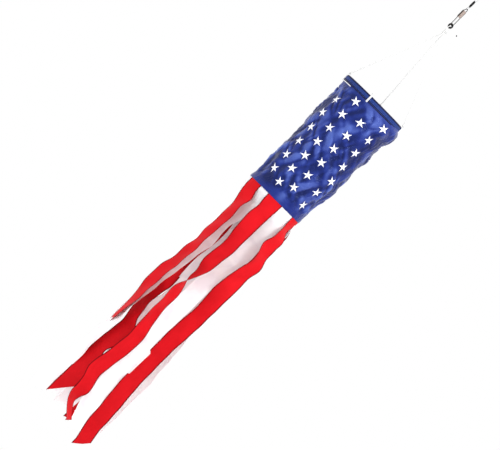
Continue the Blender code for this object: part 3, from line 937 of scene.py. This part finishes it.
def make_band():
    """The header: a doubled strip folded over the hoop, stitched through below it in two rows."""
    turns = np.arange(BAND_COLUMNS + 1) * TURN / BAND_COLUMNS - math.pi
    angle = turns[:-1]
    outer = BAND_RADIUS - BAND_CLOTH / 2
    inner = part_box("hoop_wire")[1].x - 2 * HOOP_WIRE - 2.2 * MM
    middle = (outer + inner) / 2
    half = (outer - inner) / 2
    profile = [(outer, -BAND_HEIGHT + h * MM) for h in np.linspace(0.3, 12.0, 22)]
    arch = np.linspace(0.25, math.pi - 0.25, 12)
    profile += [(middle + half * math.cos(a), (half * math.sin(a) - 3.1 * MM)) for a in arch]
    profile += [(inner, -BAND_HEIGHT + h * MM) for h in np.linspace(12.0, 0.3, 22)]
    rings, uv = [], []
    for place, (radius, height) in enumerate(profile):
        drop = -height
        spread_out = radius + ripple(angle, 5 + place // 9, 0.22 * MM, (41, 67, 90, 23))
        front = radius > middle
        if front:
            share = min(1.0, drop / BAND_HEIGHT)
            stitch = sum(math.exp(-((drop - row) / (0.8 * MM)) ** 2) for row in BAND_ROWS)
            swell = 0.25 * MM * math.sin(math.pi * share) - 0.45 * MM * stitch
            spread_out = spread_out + swell + ripple(angle, 3, 0.5 * MM, (5, 9, 14)) * share
        rings.append(front_angle(spread_out, angle, MOUTH_Z + height))
        uv.append(np.stack([turns * BAND_RADIUS, np.full(len(turns), drop if front else -drop)], -1))
    mesh = loft("band_cloth", rings, uv, caps=False)
    made = link("band_cloth", mesh, "header_cloth", "sock", ["header_band"])
    thicken(made, CLOTH_THICKNESS)
    make_band_stitches()


def capsules(name, starts, ends, radius, lift):
    """Many short threads in one mesh, each a flat-sided capsule bowed out by lift along its normal."""
    side = unit(np.cross(unit(ends - starts), lift))
    shares = np.array((0.0, 0.06, 0.25, 0.5, 0.75, 0.94, 1.0))
    sizes = np.array((0.35, 0.8, 1.0, 1.0, 1.0, 0.8, 0.35))
    sides = 6
    angle = np.arange(sides) * TURN / sides
    share = shares[None, :, None, None]
    centre = starts[:, None, None, :] + (ends - starts)[:, None, None, :] * share
    bow = np.sin(math.pi * share) * 0.35 * radius + 0.15 * radius
    centre = centre + bow * lift[:, None, None, :]
    around = (np.cos(angle)[None, None, :, None] * side[:, None, None, :]
              + np.sin(angle)[None, None, :, None] * lift[:, None, None, :])
    points = centre + radius * sizes[None, :, None, None] * around
    count = len(starts)
    rows = len(shares)
    base = np.arange(count)[:, None, None] * rows * sides
    row = np.arange(rows - 1)[None, :, None] * sides
    here = np.arange(sides)[None, None, :]
    beside = (here + 1) % sides
    quads = np.stack([base + row + here, base + row + beside, base + row + sides + beside,
                      base + row + sides + here], -1).reshape(-1, 4).tolist()
    for i in range(count):
        quads.append([i * rows * sides + k for k in range(sides)][::-1])
        quads.append([(i + 1) * rows * sides - sides + k for k in range(sides)])
    mesh = bpy.data.meshes.new(name)
    mesh.from_pydata(points.reshape(-1, 3).tolist(), [], quads)
    uv = np.zeros((count * rows * sides, 2))
    uv[:, 0] = np.tile(np.repeat(shares, sides), count) * 2.4 * MM
    add_cloth_uv(mesh, uv)
    return outwards(mesh)


def stitches(name, runs, radius):
    """Rows of short threads. Each run gives their starts, their ends and which way is outwards."""
    starts, ends, lifts = (np.concatenate(part) for part in zip(*runs))
    mesh = capsules(name, starts, ends, radius, lifts)
    return link(name, mesh, "blue_thread", "sock")


def make_band_stitches():
    count = int(TURN * BAND_RADIUS / (3.2 * MM))
    radius = BAND_RADIUS - 0.02 * MM
    first = np.arange(count) * TURN / count
    second = first + STITCH_SHARE * TURN / count
    runs = []
    for row in BAND_ROWS:
        ends = [front_angle(radius, angle, MOUTH_Z - row) for angle in (first, second)]
        runs.append((*ends, front_angle(1.0, (first + second) / 2, 0.0)))
    return stitches("band_stitches", runs, 0.22 * MM)


# ---------------------------------------------------------------- tube of satin

SOCK_TOP_DROP = 5.5 * MM
PULLED_TOP = 14.0 * MM  # above this drop the header holds the tube
PULLED_END = 296.0 * MM  # below it the hem does
SIM_COLUMNS = 132
SIM_ROWS = 78
SIM_FRAMES = 34
FINE = 3  # columns and rows of the finished tube for each one of the simulation
WIDER = 1.025  # how much wider and longer the cloth is cut than the space it hangs in
LONGER = 1.03
SIM_CLOTH = (("tension", 18, 8), ("compression", 18, 8), ("shear", 6, 8), ("bending", 0.35, 0.6))
MAX_MOVE = 8.0 * MM  # no point of the simulation goes further than this from the hanging tube
# Radii at which angles on the tube are taken as lengths.
STAR_MAP_RADIUS = 79 * MM
CLOTH_MAP_RADIUS = 80 * MM
SEAM_MAP_RADIUS = 78 * MM
HEM_MAP_RADIUS = 72 * MM
HEM_ROWS = (2.0 * MM, 10.5 * MM)  # its two rows of stitches, above the lower edge

# The hanging tube's middle to the right and its half-width, by the drop below the mouth, in mm.
DROPS = (5.5, 14, 22, 32, 44, 56, 78, 120, 150, 180, 200, 222, 246, 270, 305)
MIDDLES = (0, 1.5, 5, 6, 5, 1.5, 0.5, -0.7, 1, 1.9, 1.9, -0.2, -2.6, -2, -4.5)
HALF_WIDTHS = (81.1, 82.2, 84.5, 84.8, 82, 79.5, 80, 78, 76.7, 77.6, 79.2, 75.2, 72.4, 71, 74.2)


def hanging_tube(angle, drop):
    """The tube without its wrinkles, at an angle from the front and a drop below the mouth in metres.
    Where it is wider it is less deep, so that it keeps its distance round."""
    at = drop / MM
    middle = np.interp(at, DROPS, MIDDLES)
    half = np.interp(at, DROPS, HALF_WIDTHS)
    mean = 81.1 - 10.0 * np.clip((at - 30) / 275, 0, 1)
    deep = 2 * mean - half
    right = (middle + half * np.sin(angle)) * MM
    return np.stack([right, -deep * np.cos(angle) * MM, MOUTH_Z - drop], -1)


CUBIC_PLACES = [(i, j) for i in range(4) for j in range(4)]


def cubic_weights(t):
    """How much each of four neighbours counts, in a smooth curve through their values."""
    return (
        0.5 * (-t + 2 * t**2 - t**3),
        0.5 * (2 - 5 * t**2 + 3 * t**3),
        0.5 * (t + 4 * t**2 - 3 * t**3),
        0.5 * (-(t**2) + t**3),
    )


class Surface:
    """A grid of the tube's points as a smooth surface over (angle, drop). first is the angle of the
    grid's first column."""

    def __init__(self, grid, first=0.0):
        self.grid = grid
        self.first = first

    def at(self, angle, drop):
        rows, columns = self.grid.shape[:2]
        x = (np.asarray(angle, float) - self.first) / TURN * columns
        y = (np.asarray(drop, float) - SOCK_TOP_DROP) / (SOCK_LENGTH - SOCK_TOP_DROP) * (rows - 1)
        column = np.floor(x).astype(int)
        row = np.clip(np.floor(y).astype(int), 0, rows - 2)
        across = cubic_weights((x - column)[..., None])
        down = cubic_weights((y - row)[..., None])
        return sum(
            across[i] * down[j] * self.grid[np.clip(row + j - 1, 0, rows - 1), (column + i - 1) % columns]
            for i, j in CUBIC_PLACES
        )

    def normal(self, angle, drop):
        step = 1.2 * MM
        turn = step / BAND_RADIUS
        across = self.at(angle + turn, drop) - self.at(angle - turn, drop)
        down = self.at(angle, drop + step) - self.at(angle, drop - step)
        return unit(np.cross(down, across))

    def above(self, angle, drop, height):
        """Places this far outside the tube."""
        return self.at(angle, drop) + self.normal(angle, drop) * height


def sock_drops(rows):
    """Evenly spaced drops from the tube's top to its lower edge."""
    return SOCK_TOP_DROP + (SOCK_LENGTH - SOCK_TOP_DROP) * np.arange(rows) / (rows - 1)


def inside_edges(drop):
    """The drop, kept 2 mm away from the tube's two edges."""
    return np.clip(drop, SOCK_TOP_DROP + 2 * MM, SOCK_LENGTH - 2 * MM)


def simulate_tube():
    """Cloth a little longer and wider than the space between its two held edges, so that it wrinkles."""
    angle = np.arange(SIM_COLUMNS) * TURN / SIM_COLUMNS
    angles, drops = np.meshgrid(angle, sock_drops(SIM_ROWS))
    start = hanging_tube(angles, drops)
    random = np.random.default_rng(11)
    uneven = np.zeros_like(angles)
    for _ in range(26):
        waves = random.integers(3, 15)
        tall = random.uniform(-5, 5)
        uneven += np.cos(waves * angles + tall * drops / (40 * MM) + random.uniform(0, TURN))
    free = smoothstep((drops - PULLED_TOP) / (18 * MM)) * smoothstep((PULLED_END - drops) / (16 * MM))
    start = start + front_angle(1.0, angles, 0.0) * (uneven * 0.32 * MM * free)[..., None]
    mesh = loft("tube_sim", start, caps=False)
    tube_object = bpy.data.objects.new("tube_sim", mesh)
    bpy.context.scene.collection.objects.link(tube_object)
    pins = tube_object.vertex_groups.new(name="held")
    fixed = ((drops <= PULLED_TOP) | (drops >= PULLED_END)).ravel()
    pins.add(np.nonzero(fixed)[0].tolist(), 1.0, "REPLACE")
    tube_object.shape_key_add(name="Basis")
    cut = tube_object.shape_key_add(name="cut")
    flat = hanging_tube(angles, drops) * np.array((WIDER, WIDER, 1))
    flat[..., 2] = MOUTH_Z - (drops - SOCK_TOP_DROP) * LONGER
    cut.data.foreach_set("co", flat.reshape(-1).astype(np.float32))
    cloth = tube_object.modifiers.new("cloth", "CLOTH")
    settings = cloth.settings
    settings.quality = 8
    settings.mass = 0.12
    for name, stiffness, damping in SIM_CLOTH:
        setattr(settings, name + "_stiffness", stiffness)
        setattr(settings, name + "_damping", damping)
    settings.air_damping = 2.5
    settings.vertex_group_mass = "held"
    settings.rest_shape_key = cut
    settings.effector_weights.gravity = 0.0
    cloth.point_cache.frame_start = 1
    cloth.point_cache.frame_end = SIM_FRAMES
    scene = bpy.context.scene
    for step in range(1, SIM_FRAMES + 1):
        scene.frame_set(step)
    graph = bpy.context.evaluated_depsgraph_get()
    moved = tube_object.evaluated_get(graph).data
    places = np.empty(len(moved.vertices) * 3)
    moved.vertices.foreach_get("co", places)
    places = places.reshape(start.shape)
    scene.frame_set(1)
    bpy.data.objects.remove(tube_object)
    plain = hanging_tube(angles, drops)
    move = places - plain
    size = np.linalg.norm(move, axis=-1)[..., None]
    return plain + move * np.minimum(1, MAX_MOVE / np.maximum(size, 1e-9))


SATIN_SEED = 5
NOISE_ROWS = 48
# Each layer of folds: how many round the tube, their height, their lean and how tall they stand.
SATIN_FOLDS = (
    (30, 42 * MM, 1.3, 1.8 * MM),
    (38, 34 * MM, -1.6, 1.5 * MM),
    (64, 22 * MM, 1.1, 0.6 * MM),
)
# Broad patches of painted sheen, where paler, and of painted shade, where darker: the angle from the
# front (degrees), the drop below the mouth, the reach to the sides and up and down (mm), and how much
# paler.
PAINTED_SATIN_PATCHES = (
    (10, 22, 34, 15, 0.42), (52, 34, 26, 18, 0.36), (-38, 284, 24, 14, -0.34), (5, 290, 9, 13, 0.28),
    (-76, 150, 15, 110, -0.30), (30, 235, 20, 18, 0.12), (84, 190, 12, 90, -0.14),
)
STAR_RADIUS = 11.4 * MM
STAR_NOTCH = 0.35
# Each column of stars: its angle from the front at the tube's top and at its lower edge (degrees).
# Seven and six stars take turns, and the seam runs between two columns of seven.
STAR_COLUMNS = (
    (-154, -150), (-121, -116), (-89, -87), (-57, -42), (-25, -17), (6, 8),
    (34.6, 46.5), (93, 97), (116, 119), (139, 143), (167, 169),
)
STAR_ROWS_LONG = tuple(32 + 39.8 * i for i in range(7))
STAR_ROWS_SHORT = tuple(58.5 + 39.8 * i for i in range(6))


def star_places():
    """Each star's angle and its drop below the mouth."""
    places = []
    for column, (top, end) in enumerate(STAR_COLUMNS):
        rows = STAR_ROWS_SHORT if column % 2 else STAR_ROWS_LONG
        for row in rows:
            share = row * MM / SOCK_LENGTH
            places.append((math.radians(top + (end - top) * share), row * MM))
    return places


def soft_noise(random, turns, drops, cells, height, lean):
    """Smooth random values that meet round the tube: this many cells round it, each this tall, and
    leaning by this many cells for each cell down."""
    table = random.normal(size=(NOISE_ROWS, cells))
    y = drops / height
    x = turns * cells + lean * y
    row = np.floor(y).astype(int)
    column = np.floor(x).astype(int)
    down = cubic_weights(y - row)
    across = cubic_weights(x - column)
    return sum(
        across[i] * down[j] * table[(row + j) % NOISE_ROWS, (column + i) % cells] for i, j in CUBIC_PLACES
    )


def satin_folds(turns, drops, near_star):
    """The height of the many small slanting folds of loose satin, flatter under the stars."""
    random = np.random.default_rng(SATIN_SEED)
    total = np.zeros_like(turns)
    for cells, height, lean, tall in SATIN_FOLDS:
        value = soft_noise(random, turns, drops, cells, height, lean)
        total += tall * (np.sqrt(value**2 + 0.12) - 0.8)
    top = smoothstep((drops - PULLED_TOP) / (16 * MM))
    end = smoothstep((PULLED_END - 4 * MM - drops) / (14 * MM))
    return total * top * end * (1 - 0.6 * near_star)


def turn_from(angles, start):
    """How far round each angle is from the start, the shorter way."""
    return (angles - start + math.pi) % TURN - math.pi


def make_sock():
    """The satin tube: the simulated one with finer folds, and attributes for the painted sheen and
    shade of its folds and for the painted shade of the cloth round each star."""
    surface = Surface(simulate_tube())
    columns = SIM_COLUMNS * FINE
    turns = np.arange(columns + 1) * TURN / columns - math.pi
    drop = sock_drops((SIM_ROWS - 1) * FINE + 1)
    fine_angles, fine_drops = np.meshgrid(turns[:-1], drop)
    points = surface.at(fine_angles, fine_drops)
    normals = surface.normal(fine_angles, inside_edges(fine_drops))
    near_star = np.zeros(points.shape[:2])
    for star_angle, star_drop in star_places():
        around = turn_from(fine_angles, star_angle) * STAR_MAP_RADIUS
        beyond = np.hypot(around, fine_drops - star_drop) - 0.5 * STAR_RADIUS
        near_star = np.maximum(near_star, 1 - smoothstep(beyond / (0.7 * STAR_RADIUS)))
    folds = satin_folds(fine_angles / TURN, fine_drops, near_star)
    points = points + normals * folds[..., None]
    # The hem's two stitch rows pull it in a little.
    dip = sum(np.exp(-(((fine_drops - SOCK_LENGTH + row) / (0.9 * MM)) ** 2)) for row in HEM_ROWS)
    points = points - normals * (0.35 * MM * dip)[..., None]
    uv = np.stack(np.meshgrid(turns * CLOTH_MAP_RADIUS, drop), -1)
    mesh = loft("sock_satin", points, uv, caps=False)
    # Painted sheen on the crests of the folds and painted shade in their hollows, with the broad painted
    # patches.
    painted_fold_light_values = 0.5 + folds / (3.2 * MM)
    for angle, low, beside, above, strength in PAINTED_SATIN_PATCHES:
        around = turn_from(fine_angles, math.radians(angle)) * CLOTH_MAP_RADIUS / MM
        far = np.hypot(around / beside, (fine_drops / MM - low) / above)
        painted_fold_light_values = painted_fold_light_values + strength * np.exp(-(far**2))
    for attribute_name, values in (("star_pull_shade", near_star), ("painted_fold_light", painted_fold_light_values)):
        attribute = mesh.attributes.new(attribute_name, "FLOAT", "POINT")
        attribute.data.foreach_set("value", np.clip(values, 0, 1).ravel().astype(np.float32))
    surface = Surface(points, -math.pi)
    made = link("sock_satin", mesh, "blue_cloth", "sock", ["sock_body"])
    thicken(made, CLOTH_THICKNESS)
    pieces = [make_stars(surface), make_hem(surface), make_seam(surface)]
    return surface


def make_stars(surface):
    """Embroidered stars on the tube's surface: five satin-stitched arms each, ridged in the middle."""
    across = np.array((-1.0, -1.0, -0.5, 0.0, 0.5, 1.0, 1.0))
    notch_along = STAR_NOTCH * math.cos(math.pi / 5)
    notch_wide = STAR_NOTCH * math.sin(math.pi / 5)
    along = np.concatenate([np.linspace(0.0, notch_along, 4), np.linspace(notch_along, 1.0, 6)[1:]])
    rows, columns = len(along), len(across)
    inner = along < notch_along
    wide = np.where(inner, along / notch_along, (1 - along) / (1 - notch_along)) * notch_wide
    wide = (np.maximum(wide, 0.012)[:, None] * across)[..., None]
    # The arm's ridge is highest at the star's middle. Its outermost columns go down into the cloth.
    ridge = 0.95 - 0.40 * along
    edge = np.where(inner, 0.95 + (0.40 - 0.95) * along / notch_along, 0.40)
    height = ridge[:, None] + (edge - ridge)[:, None] * np.abs(across)
    for side in (0, -1):
        height[:, side] = np.where(inner, edge - 0.3, -0.25)
    height = (height + 0.3)[..., None] * MM
    corners = corner_grid(rows, columns, columns - 1)
    places, uvs, faces = [], [], []
    for star_angle, star_drop in star_places():
        for direction in TURN * np.arange(5) / 5:
            ahead = np.array((math.sin(direction), math.cos(direction)))
            beside = np.array((math.cos(direction), -math.sin(direction)))
            flat = (along[:, None, None] * ahead + wide * beside) * STAR_RADIUS
            angle = star_angle + flat[..., 0] / STAR_MAP_RADIUS
            faces.append(corners + len(places) * rows * columns)
            places.append(surface.above(angle, star_drop + flat[..., 1], height).reshape(-1, 3))
            uv = (along[:, None] * STAR_RADIUS + direction, wide[..., 0] * STAR_RADIUS)
            uvs.append(np.stack(np.broadcast_arrays(*uv), -1).reshape(-1, 2))
    mesh = bpy.data.meshes.new("sock_stars")
    mesh.from_pydata(np.concatenate(places).tolist(), [], np.concatenate(faces).tolist())
    add_cloth_uv(mesh, np.concatenate(uvs))
    return link("sock_stars", mesh, "star_thread", "sock", smooth=False)


def make_hem(surface):
    """The turned-up hem inside the lower edge, with its two rows of stitches outside."""
    columns = 264
    turns = np.arange(columns + 1) * TURN / columns - math.pi
    angle = turns[:-1]
    rings, uv = [], []
    for drop in np.linspace(SOCK_LENGTH - 12 * MM, SOCK_LENGTH - 0.2 * MM, 9):
        at = np.full(columns, drop)
        inside = surface.above(angle, np.minimum(at, SOCK_LENGTH - 2 * MM), -1.9 * MM)
        inside[:, 2] = surface.at(angle, at)[:, 2]
        rings.append(inside)
        uv.append(np.stack([turns * HEM_MAP_RADIUS, np.full(columns + 1, drop)], -1))
    mesh = loft("hem_strip", rings, uv, caps=False)
    made = link("hem_strip", mesh, "hem_cloth", "sock", ["hem_band"])
    thicken(made, 0.5 * MM)
    count = int(TURN * HEM_MAP_RADIUS / (3.0 * MM))
    first = np.arange(count) * TURN / count
    second = first + STITCH_SHARE * TURN / count
    runs = []
    for row in HEM_ROWS:
        drop = np.full(count, SOCK_LENGTH - row)
        ends = [surface.above(angle, drop, 0.05 * MM) for angle in (first, second)]
        runs.append((*ends, surface.normal((first + second) / 2, drop)))
    stitches("hem_stitches", runs, 0.2 * MM)
    return made


def make_seam(surface):
    """The tube's back seam: a felled strip along its whole height, stitched down both sides."""
    drop = np.linspace(SOCK_TOP_DROP + 9 * MM, SOCK_LENGTH - 0.5 * MM, 220)
    across = np.array((-4.0, -3.9, -3.0, -1.5, 0.0, 1.5, 3.0, 3.9, 4.0)) * MM
    height = np.array((0.1, 0.55, 0.7, 0.75, 0.8, 0.75, 0.7, 0.55, 0.1)) * MM
    angles, drops = np.meshgrid(math.pi + across / SEAM_MAP_RADIUS, drop)
    out = surface.normal(angles, inside_edges(drops))
    points = surface.at(angles, drops) + out * height[None, :, None]
    mesh = strip_mesh("seam_fell", points, np.stack([angles * CLOTH_MAP_RADIUS, drops], -1))
    first = np.linspace(SOCK_TOP_DROP + 11 * MM, SOCK_LENGTH - 4 * MM, 96)
    runs = []
    for side in (-2.9 * MM, 2.9 * MM):
        at = np.full(len(first), math.pi + side / SEAM_MAP_RADIUS)
        ends = [surface.above(at, drop, 0.85 * MM) for drop in (first, first + 2.1 * MM)]
        runs.append((*ends, surface.normal(at, first)))
    stitches("seam_stitches", runs, 0.2 * MM)
    return link("seam_fell", mesh, "hem_cloth", "sock")


def strip_mesh(name, points, uv):
    """An open sheet over a grid of points."""
    rows, columns = points.shape[:2]
    mesh = bpy.data.meshes.new(name)
    faces = corner_grid(rows, columns, columns - 1).tolist()
    mesh.from_pydata(points.reshape(-1, 3).tolist(), [], faces)
    add_cloth_uv(mesh, uv.reshape(-1, 2))
    return mesh


# ---------------------------------------------------------------- streamers

RIBBON_WIDTH = 41.0 * MM
RIBBON_HEM = 3.0 * MM
HEM_ROLL_RADIUS = 0.46 * MM
RIBBON_CLOTH = 0.34 * MM
SLANT_LENGTH = 90.0 * MM  # the part of a ribbon over which its slanting cut end is let in
RIBBON_INSIDE = 8.0 * MM  # how far its top edge is tucked up inside the hem
SEAM_HALF_TURN = math.radians(16.5)
RED_INSET = 0.85 * MM
WHITE_INSET = 1.35 * MM
ROW_STEP = 3.2 * MM
# The drops at which a ribbon follows its stations alone and curls and flutters in full.
GRIP_LENGTH = 42 * MM
LOOSE_LENGTH = 70 * MM
# Each wave along a ribbon: how far it moves the cloth, and the drop over which it goes on a radian.
CURL, CURL_LENGTH = 1.5 * MM, 46 * MM
FLUTTER, FLUTTER_LENGTH = 1.1 * MM, 17 * MM
TREMBLE, TREMBLE_LENGTH = 0.7 * MM, 9 * MM

# Each streamer: its name, the angle where it is sewn on, how much lower its left corner ends than its
# right one (mm), and its stations. A station is a drop below the seam, the middle's place to the right
# and in depth (mm), and how far the ribbon is turned from facing the front (degrees).
RIBBONS = (
    ("red_streamer_1", 2, 8, (
        (32, -2, -74, -25), (56, -4, -76, -12), (104, -3, -80, -28), (152, -2, -82, -40),
        (200, -6, -82, -42), (224, -7, -82, -64), (248, -13, -80, -79), (272, -14, -80, -110),
        (344, -15, -80, -120), (392, -9, -80, -134), (440, -6, -82, -143), (488, -11, -82, -143),
        (512, -16, -82, -146), (536, -18, -82, -146), (563, -10, -82, -140), (584, -9, -80, -138),
        (600, -13, -80, -128), (616, -11, -78, -114), (632, 1, -78, -112), (652, 20, -78, -112),
    )),
    ("white_streamer_1", 34, 12, (
        (30, 35, -59, 22), (56, 34, -55, 10), (94, 30, -52, -8), (128, 33, -52, 12), (152, 30, -52, 5),
        (200, 27, -52, -12), (234, 19, -52, -5), (300, 17, -52, 8), (344, 17, -54, -6),
        (392, 21, -56, 6), (464, 21, -56, -8), (512, 20, -54, 5), (560, 23, -54, 10),
        (608, 27, -54, -5), (632, 36, -54, 0), (656, 42, -54, 10),
    )),
    ("red_streamer_2", 65, 30, (
        (8, 60, -36, 69), (32, 59, -46, 72), (56, 65, -54, 53), (80, 60, -58, 41), (104, 63, -60, 53),
        (128, 67, -60, 45), (164, 62, -61, 37), (200, 60, -62, 18), (224, 58, -63, 0),
        (272, 59, -63, -26), (344, 56, -63, -18), (392, 55, -64, -26), (488, 55, -64, -24),
        (536, 58, -64, -20), (584, 62, -64, -25), (632, 67, -64, -30), (668, 75, -64, -35),
    )),
    ("white_streamer_2", 93, 10, (
        (60, 70, 0, 95), (150, 70, 2, 100), (250, 72, 4, 100), (350, 72, 4, 110), (420, 73, 6, 122),
        (488, 74, 8, 135), (560, 74, 8, 135), (634, 75, 8, 135),
    )),
    ("red_streamer_3", 121, 20, (
        (60, 62, 28, 128), (150, 60, 28, 140), (300, 58, 24, 145), (450, 56, 22, 145),
        (560, 58, 22, 145), (640, 62, 22, 150),
    )),
    ("white_streamer_3", 150, -12, (
        (60, 28, 54, 165), (200, 32, 48, 175), (350, 30, 44, 180), (500, 32, 42, 185), (640, 34, 42, 178),
    )),
    ("red_streamer_4", 180, 18, (
        (60, 2, 68, 182), (150, 14, 68, 178), (300, 18, 68, 190), (450, 20, 68, 200), (560, 20, 66, 198),
        (650, 24, 66, 190),
    )),
    ("white_streamer_4", 210, 15, (
        (52, -26, 34, 190), (104, -9, 8, 180), (176, -9, 2, 180), (200, -13, 0, 180),
        (248, -13, -4, 178), (296, -9, -4, 180), (320, -11, -4, 180), (344, -19, -2, 180),
        (368, -15, 0, 180), (392, -11, 4, 182), (440, -8, 8, 185), (520, -10, 10, 178),
        (600, -14, 8, 184), (640, -16, 8, 180),
    )),
    ("red_streamer_5", 243, 50, (
        (30, -58, 36, 225), (60, -46, 36, 205), (104, -44, 32, 200), (152, -42, 27, 212),
        (176, -43, 24, 215), (200, -48, 14, 222), (248, -50, -2, 205), (296, -49, -16, 170),
        (320, -51, -24, 150), (344, -50, -26, 126), (368, -47, -32, 128), (392, -44, -38, 130),
        (416, -36, -46, 150), (440, -38, -50, 155), (464, -40, -52, 155), (488, -46, -52, 138),
        (512, -45, -50, 150), (536, -44, -50, 155), (560, -43, -50, 155), (584, -42, -50, 160),
        (616, -44, -50, 160),
    )),
    ("white_streamer_5", 274, 10, (
        (25, -74, -2, 275), (60, -59, -2, 280), (104, -58, -2, 282), (152, -62, -3, 280),
        (200, -69.5, 0, 277), (248, -73, 0, 275), (296, -76, 2, 275), (344, -74, 6, 270),
        (392, -72, 14, 262), (440, -66, 36, 240), (460, -64, 42, 230), (500, -58, 50, 205),
        (600, -56, 54, 195), (640, -56, 54, 195),
    )),
    ("red_streamer_6", -50, 25, (
        (8, -60, -42, -45), (32, -55, -48, -38), (56, -54, -54, -57), (104, -55, -56, -60),
        (152, -56, -56, -63), (176, -57, -56, -66), (200, -59, -56, -60), (248, -61, -56, -60),
        (272, -67, -56, -54), (320, -68, -56, -58), (344, -68, -54, -64), (368, -69, -50, -73),
        (392, -70, -40, -76), (416, -71, -28, -82), (440, -72, -14, -85), (460, -74, 0, -86),
        (500, -77, 10, -80), (550, -78, 14, -76), (600, -78, 14, -75),
    )),
    ("white_streamer_6", -22, 12, (
        (8, -36, -52, -30), (32, -36, -48, -36), (56, -39, -45, -38), (80, -38, -43, -36),
        (104, -48, -38, -32), (176, -48, -36, -32), (200, -53, -36, -35), (248, -59, -36, -38),
        (296, -63, -36, -45), (344, -63, -38, -66), (380, -64, -42, -74), (416, -61, -46, -72),
        (450, -69, -44, -58), (494, -71, -42, -62), (550, -77, -34, -40), (608, -83, -26, -10),
        (650, -80, -24, -20),
    )),
)


def smooth_between(at, places, values):
    """A smooth curve through values given at uneven places."""
    places = np.asarray(places, float)
    values = np.asarray(values, float)
    slopes = np.gradient(values, places)
    span = np.clip(np.searchsorted(places, at) - 1, 0, len(places) - 2)
    width = places[span + 1] - places[span]
    t = np.clip((at - places[span]) / width, 0, 1)
    return (
        (1 + 2 * t) * (1 - t) ** 2 * values[span] + t * (1 - t) ** 2 * width * slopes[span]
        + t**2 * (3 - 2 * t) * values[span + 1] + t**2 * (t - 1) * width * slopes[span + 1]
    )


def make_streamer(surface, name, seam_degrees, slant, stations):
    """A ribbon with rolled edges, sewn inside the hem at one end and following its stations."""
    seam_angle = math.radians(seam_degrees)
    inset = RED_INSET if name.startswith("red") else WHITE_INSET
    rolled = np.array((0.9, 0.94, 0.975, 1.0))
    across = np.concatenate([-rolled[::-1], np.linspace(-0.8, 0.8, 9), rolled])
    # The outer tenth of each half is the rolled hem, which is thicker than the cloth.
    edge = np.clip((1 - np.abs(across)) / 0.1, 0, 1)
    roll = HEM_ROLL_RADIUS * np.sqrt(np.clip(1 - (2 * edge - 0.9) ** 2, 0.05, 1))
    half_thick = np.where(edge < 1, roll, RIBBON_CLOTH / 2)
    rim_angle = seam_angle + across * SEAM_HALF_TURN
    hem_drop = np.full(len(across), SOCK_LENGTH - 2 * MM)
    rim = surface.at(rim_angle, np.full(len(across), SOCK_LENGTH))
    rim_out = surface.normal(rim_angle, hem_drop)
    rim = rim - rim_out * inset
    centre = rim[len(across) // 2]
    first = (0, centre[0] / MM, centre[1] / MM, seam_degrees)
    table = np.array((first, *stations), float)
    length = table[-1, 0] * MM
    rows = int(length / ROW_STEP)
    random = np.random.default_rng(sum(map(ord, name)))
    phase = random.uniform(0, TURN, 4)
    wave = random.uniform(0.8, 1.2, 4)
    tops, bottoms, uv = [], [], []
    # Where a ribbon's end is turned over, its left corner in the picture is the other edge.
    left = -1.0 if math.cos(math.radians(table[-1, 3])) < 0 else 1.0
    drops = np.concatenate([[-RIBBON_INSIDE, -0.5 * RIBBON_INSIDE], np.linspace(0, length, rows)])
    for drop in drops:
        cut = float(smoothstep((drop - length + SLANT_LENGTH) / SLANT_LENGTH))
        own_drop = drop - cut * left * across * slant * MM / 2
        at = np.clip(own_drop, 0, None) / MM
        right = smooth_between(at, table[:, 0], table[:, 1]) * MM
        deep = smooth_between(at, table[:, 0], table[:, 2]) * MM
        turn = np.radians(smooth_between(at, table[:, 0], table[:, 3]))
        normal = np.stack([-np.sin(turn), np.cos(turn), np.zeros_like(turn)], -1)
        aside = np.stack([np.cos(turn), np.sin(turn), np.zeros_like(turn)], -1)
        middle = np.stack([right, deep, centre[2] - own_drop], -1)
        loose = float(smoothstep(drop / LOOSE_LENGTH))
        curl = CURL * math.sin(wave[0] * drop / CURL_LENGTH + phase[0]) * (across**2 - 0.3)
        flutter = FLUTTER * math.sin(wave[1] * drop / FLUTTER_LENGTH + phase[1])
        tremble = TREMBLE * np.sin(wave[2] * drop / TREMBLE_LENGTH + 2.2 * across + phase[2])
        hanging = middle + aside * (across * RIBBON_WIDTH / 2)[:, None]
        hanging = hanging + normal * ((curl + flutter + tremble) * loose)[:, None]
        sewn = rim.copy()
        sewn[:, 2] = rim[:, 2] - own_drop
        grip = float(smoothstep(drop / GRIP_LENGTH))
        point = sewn + (hanging - sewn) * grip
        facing = unit(-rim_out * (1 - grip) + normal * grip)
        tops.append(point + facing * half_thick[:, None])
        bottoms.append(point - facing * half_thick[:, None])
        uv.append(np.stack([across * RIBBON_WIDTH / 2, own_drop], -1))
    rings = np.concatenate([np.array(tops), np.array(bottoms)[:, ::-1]], axis=1)
    uv = np.array(uv)
    rings_uv = np.concatenate([uv, uv[:, ::-1], uv[:, :1]], axis=1)
    mesh = outwards(loft(name + "_ribbon", rings, rings_uv))
    made = link(name + "_ribbon", mesh, name.split("_")[0] + "_cloth", None, [name])
    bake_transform(made)


# ---------------------------------------------------------------- everything


def main():
    make_camera()
    make_stage()
    make_looks()
    make_eye("swivel_top_eye", TOP_EYE_Z, TOP_SHANK_END, 0.0, "top_eye")
    make_barrel()
    bottom_turn = SNAP_TURN - math.pi / 2
    make_eye("swivel_bottom_eye", BOTTOM_EYE_Z, BOTTOM_SHANK_END, bottom_turn, "lower_eye")
    make_snap()
    make_ring()
    make_knot()
    make_tail()
    make_legs()
    make_hoop()
    make_band()
    surface = make_sock()
    for name, seam_degrees, slant, stations in RIBBONS:
        make_streamer(surface, name, seam_degrees, slant, stations)


main()
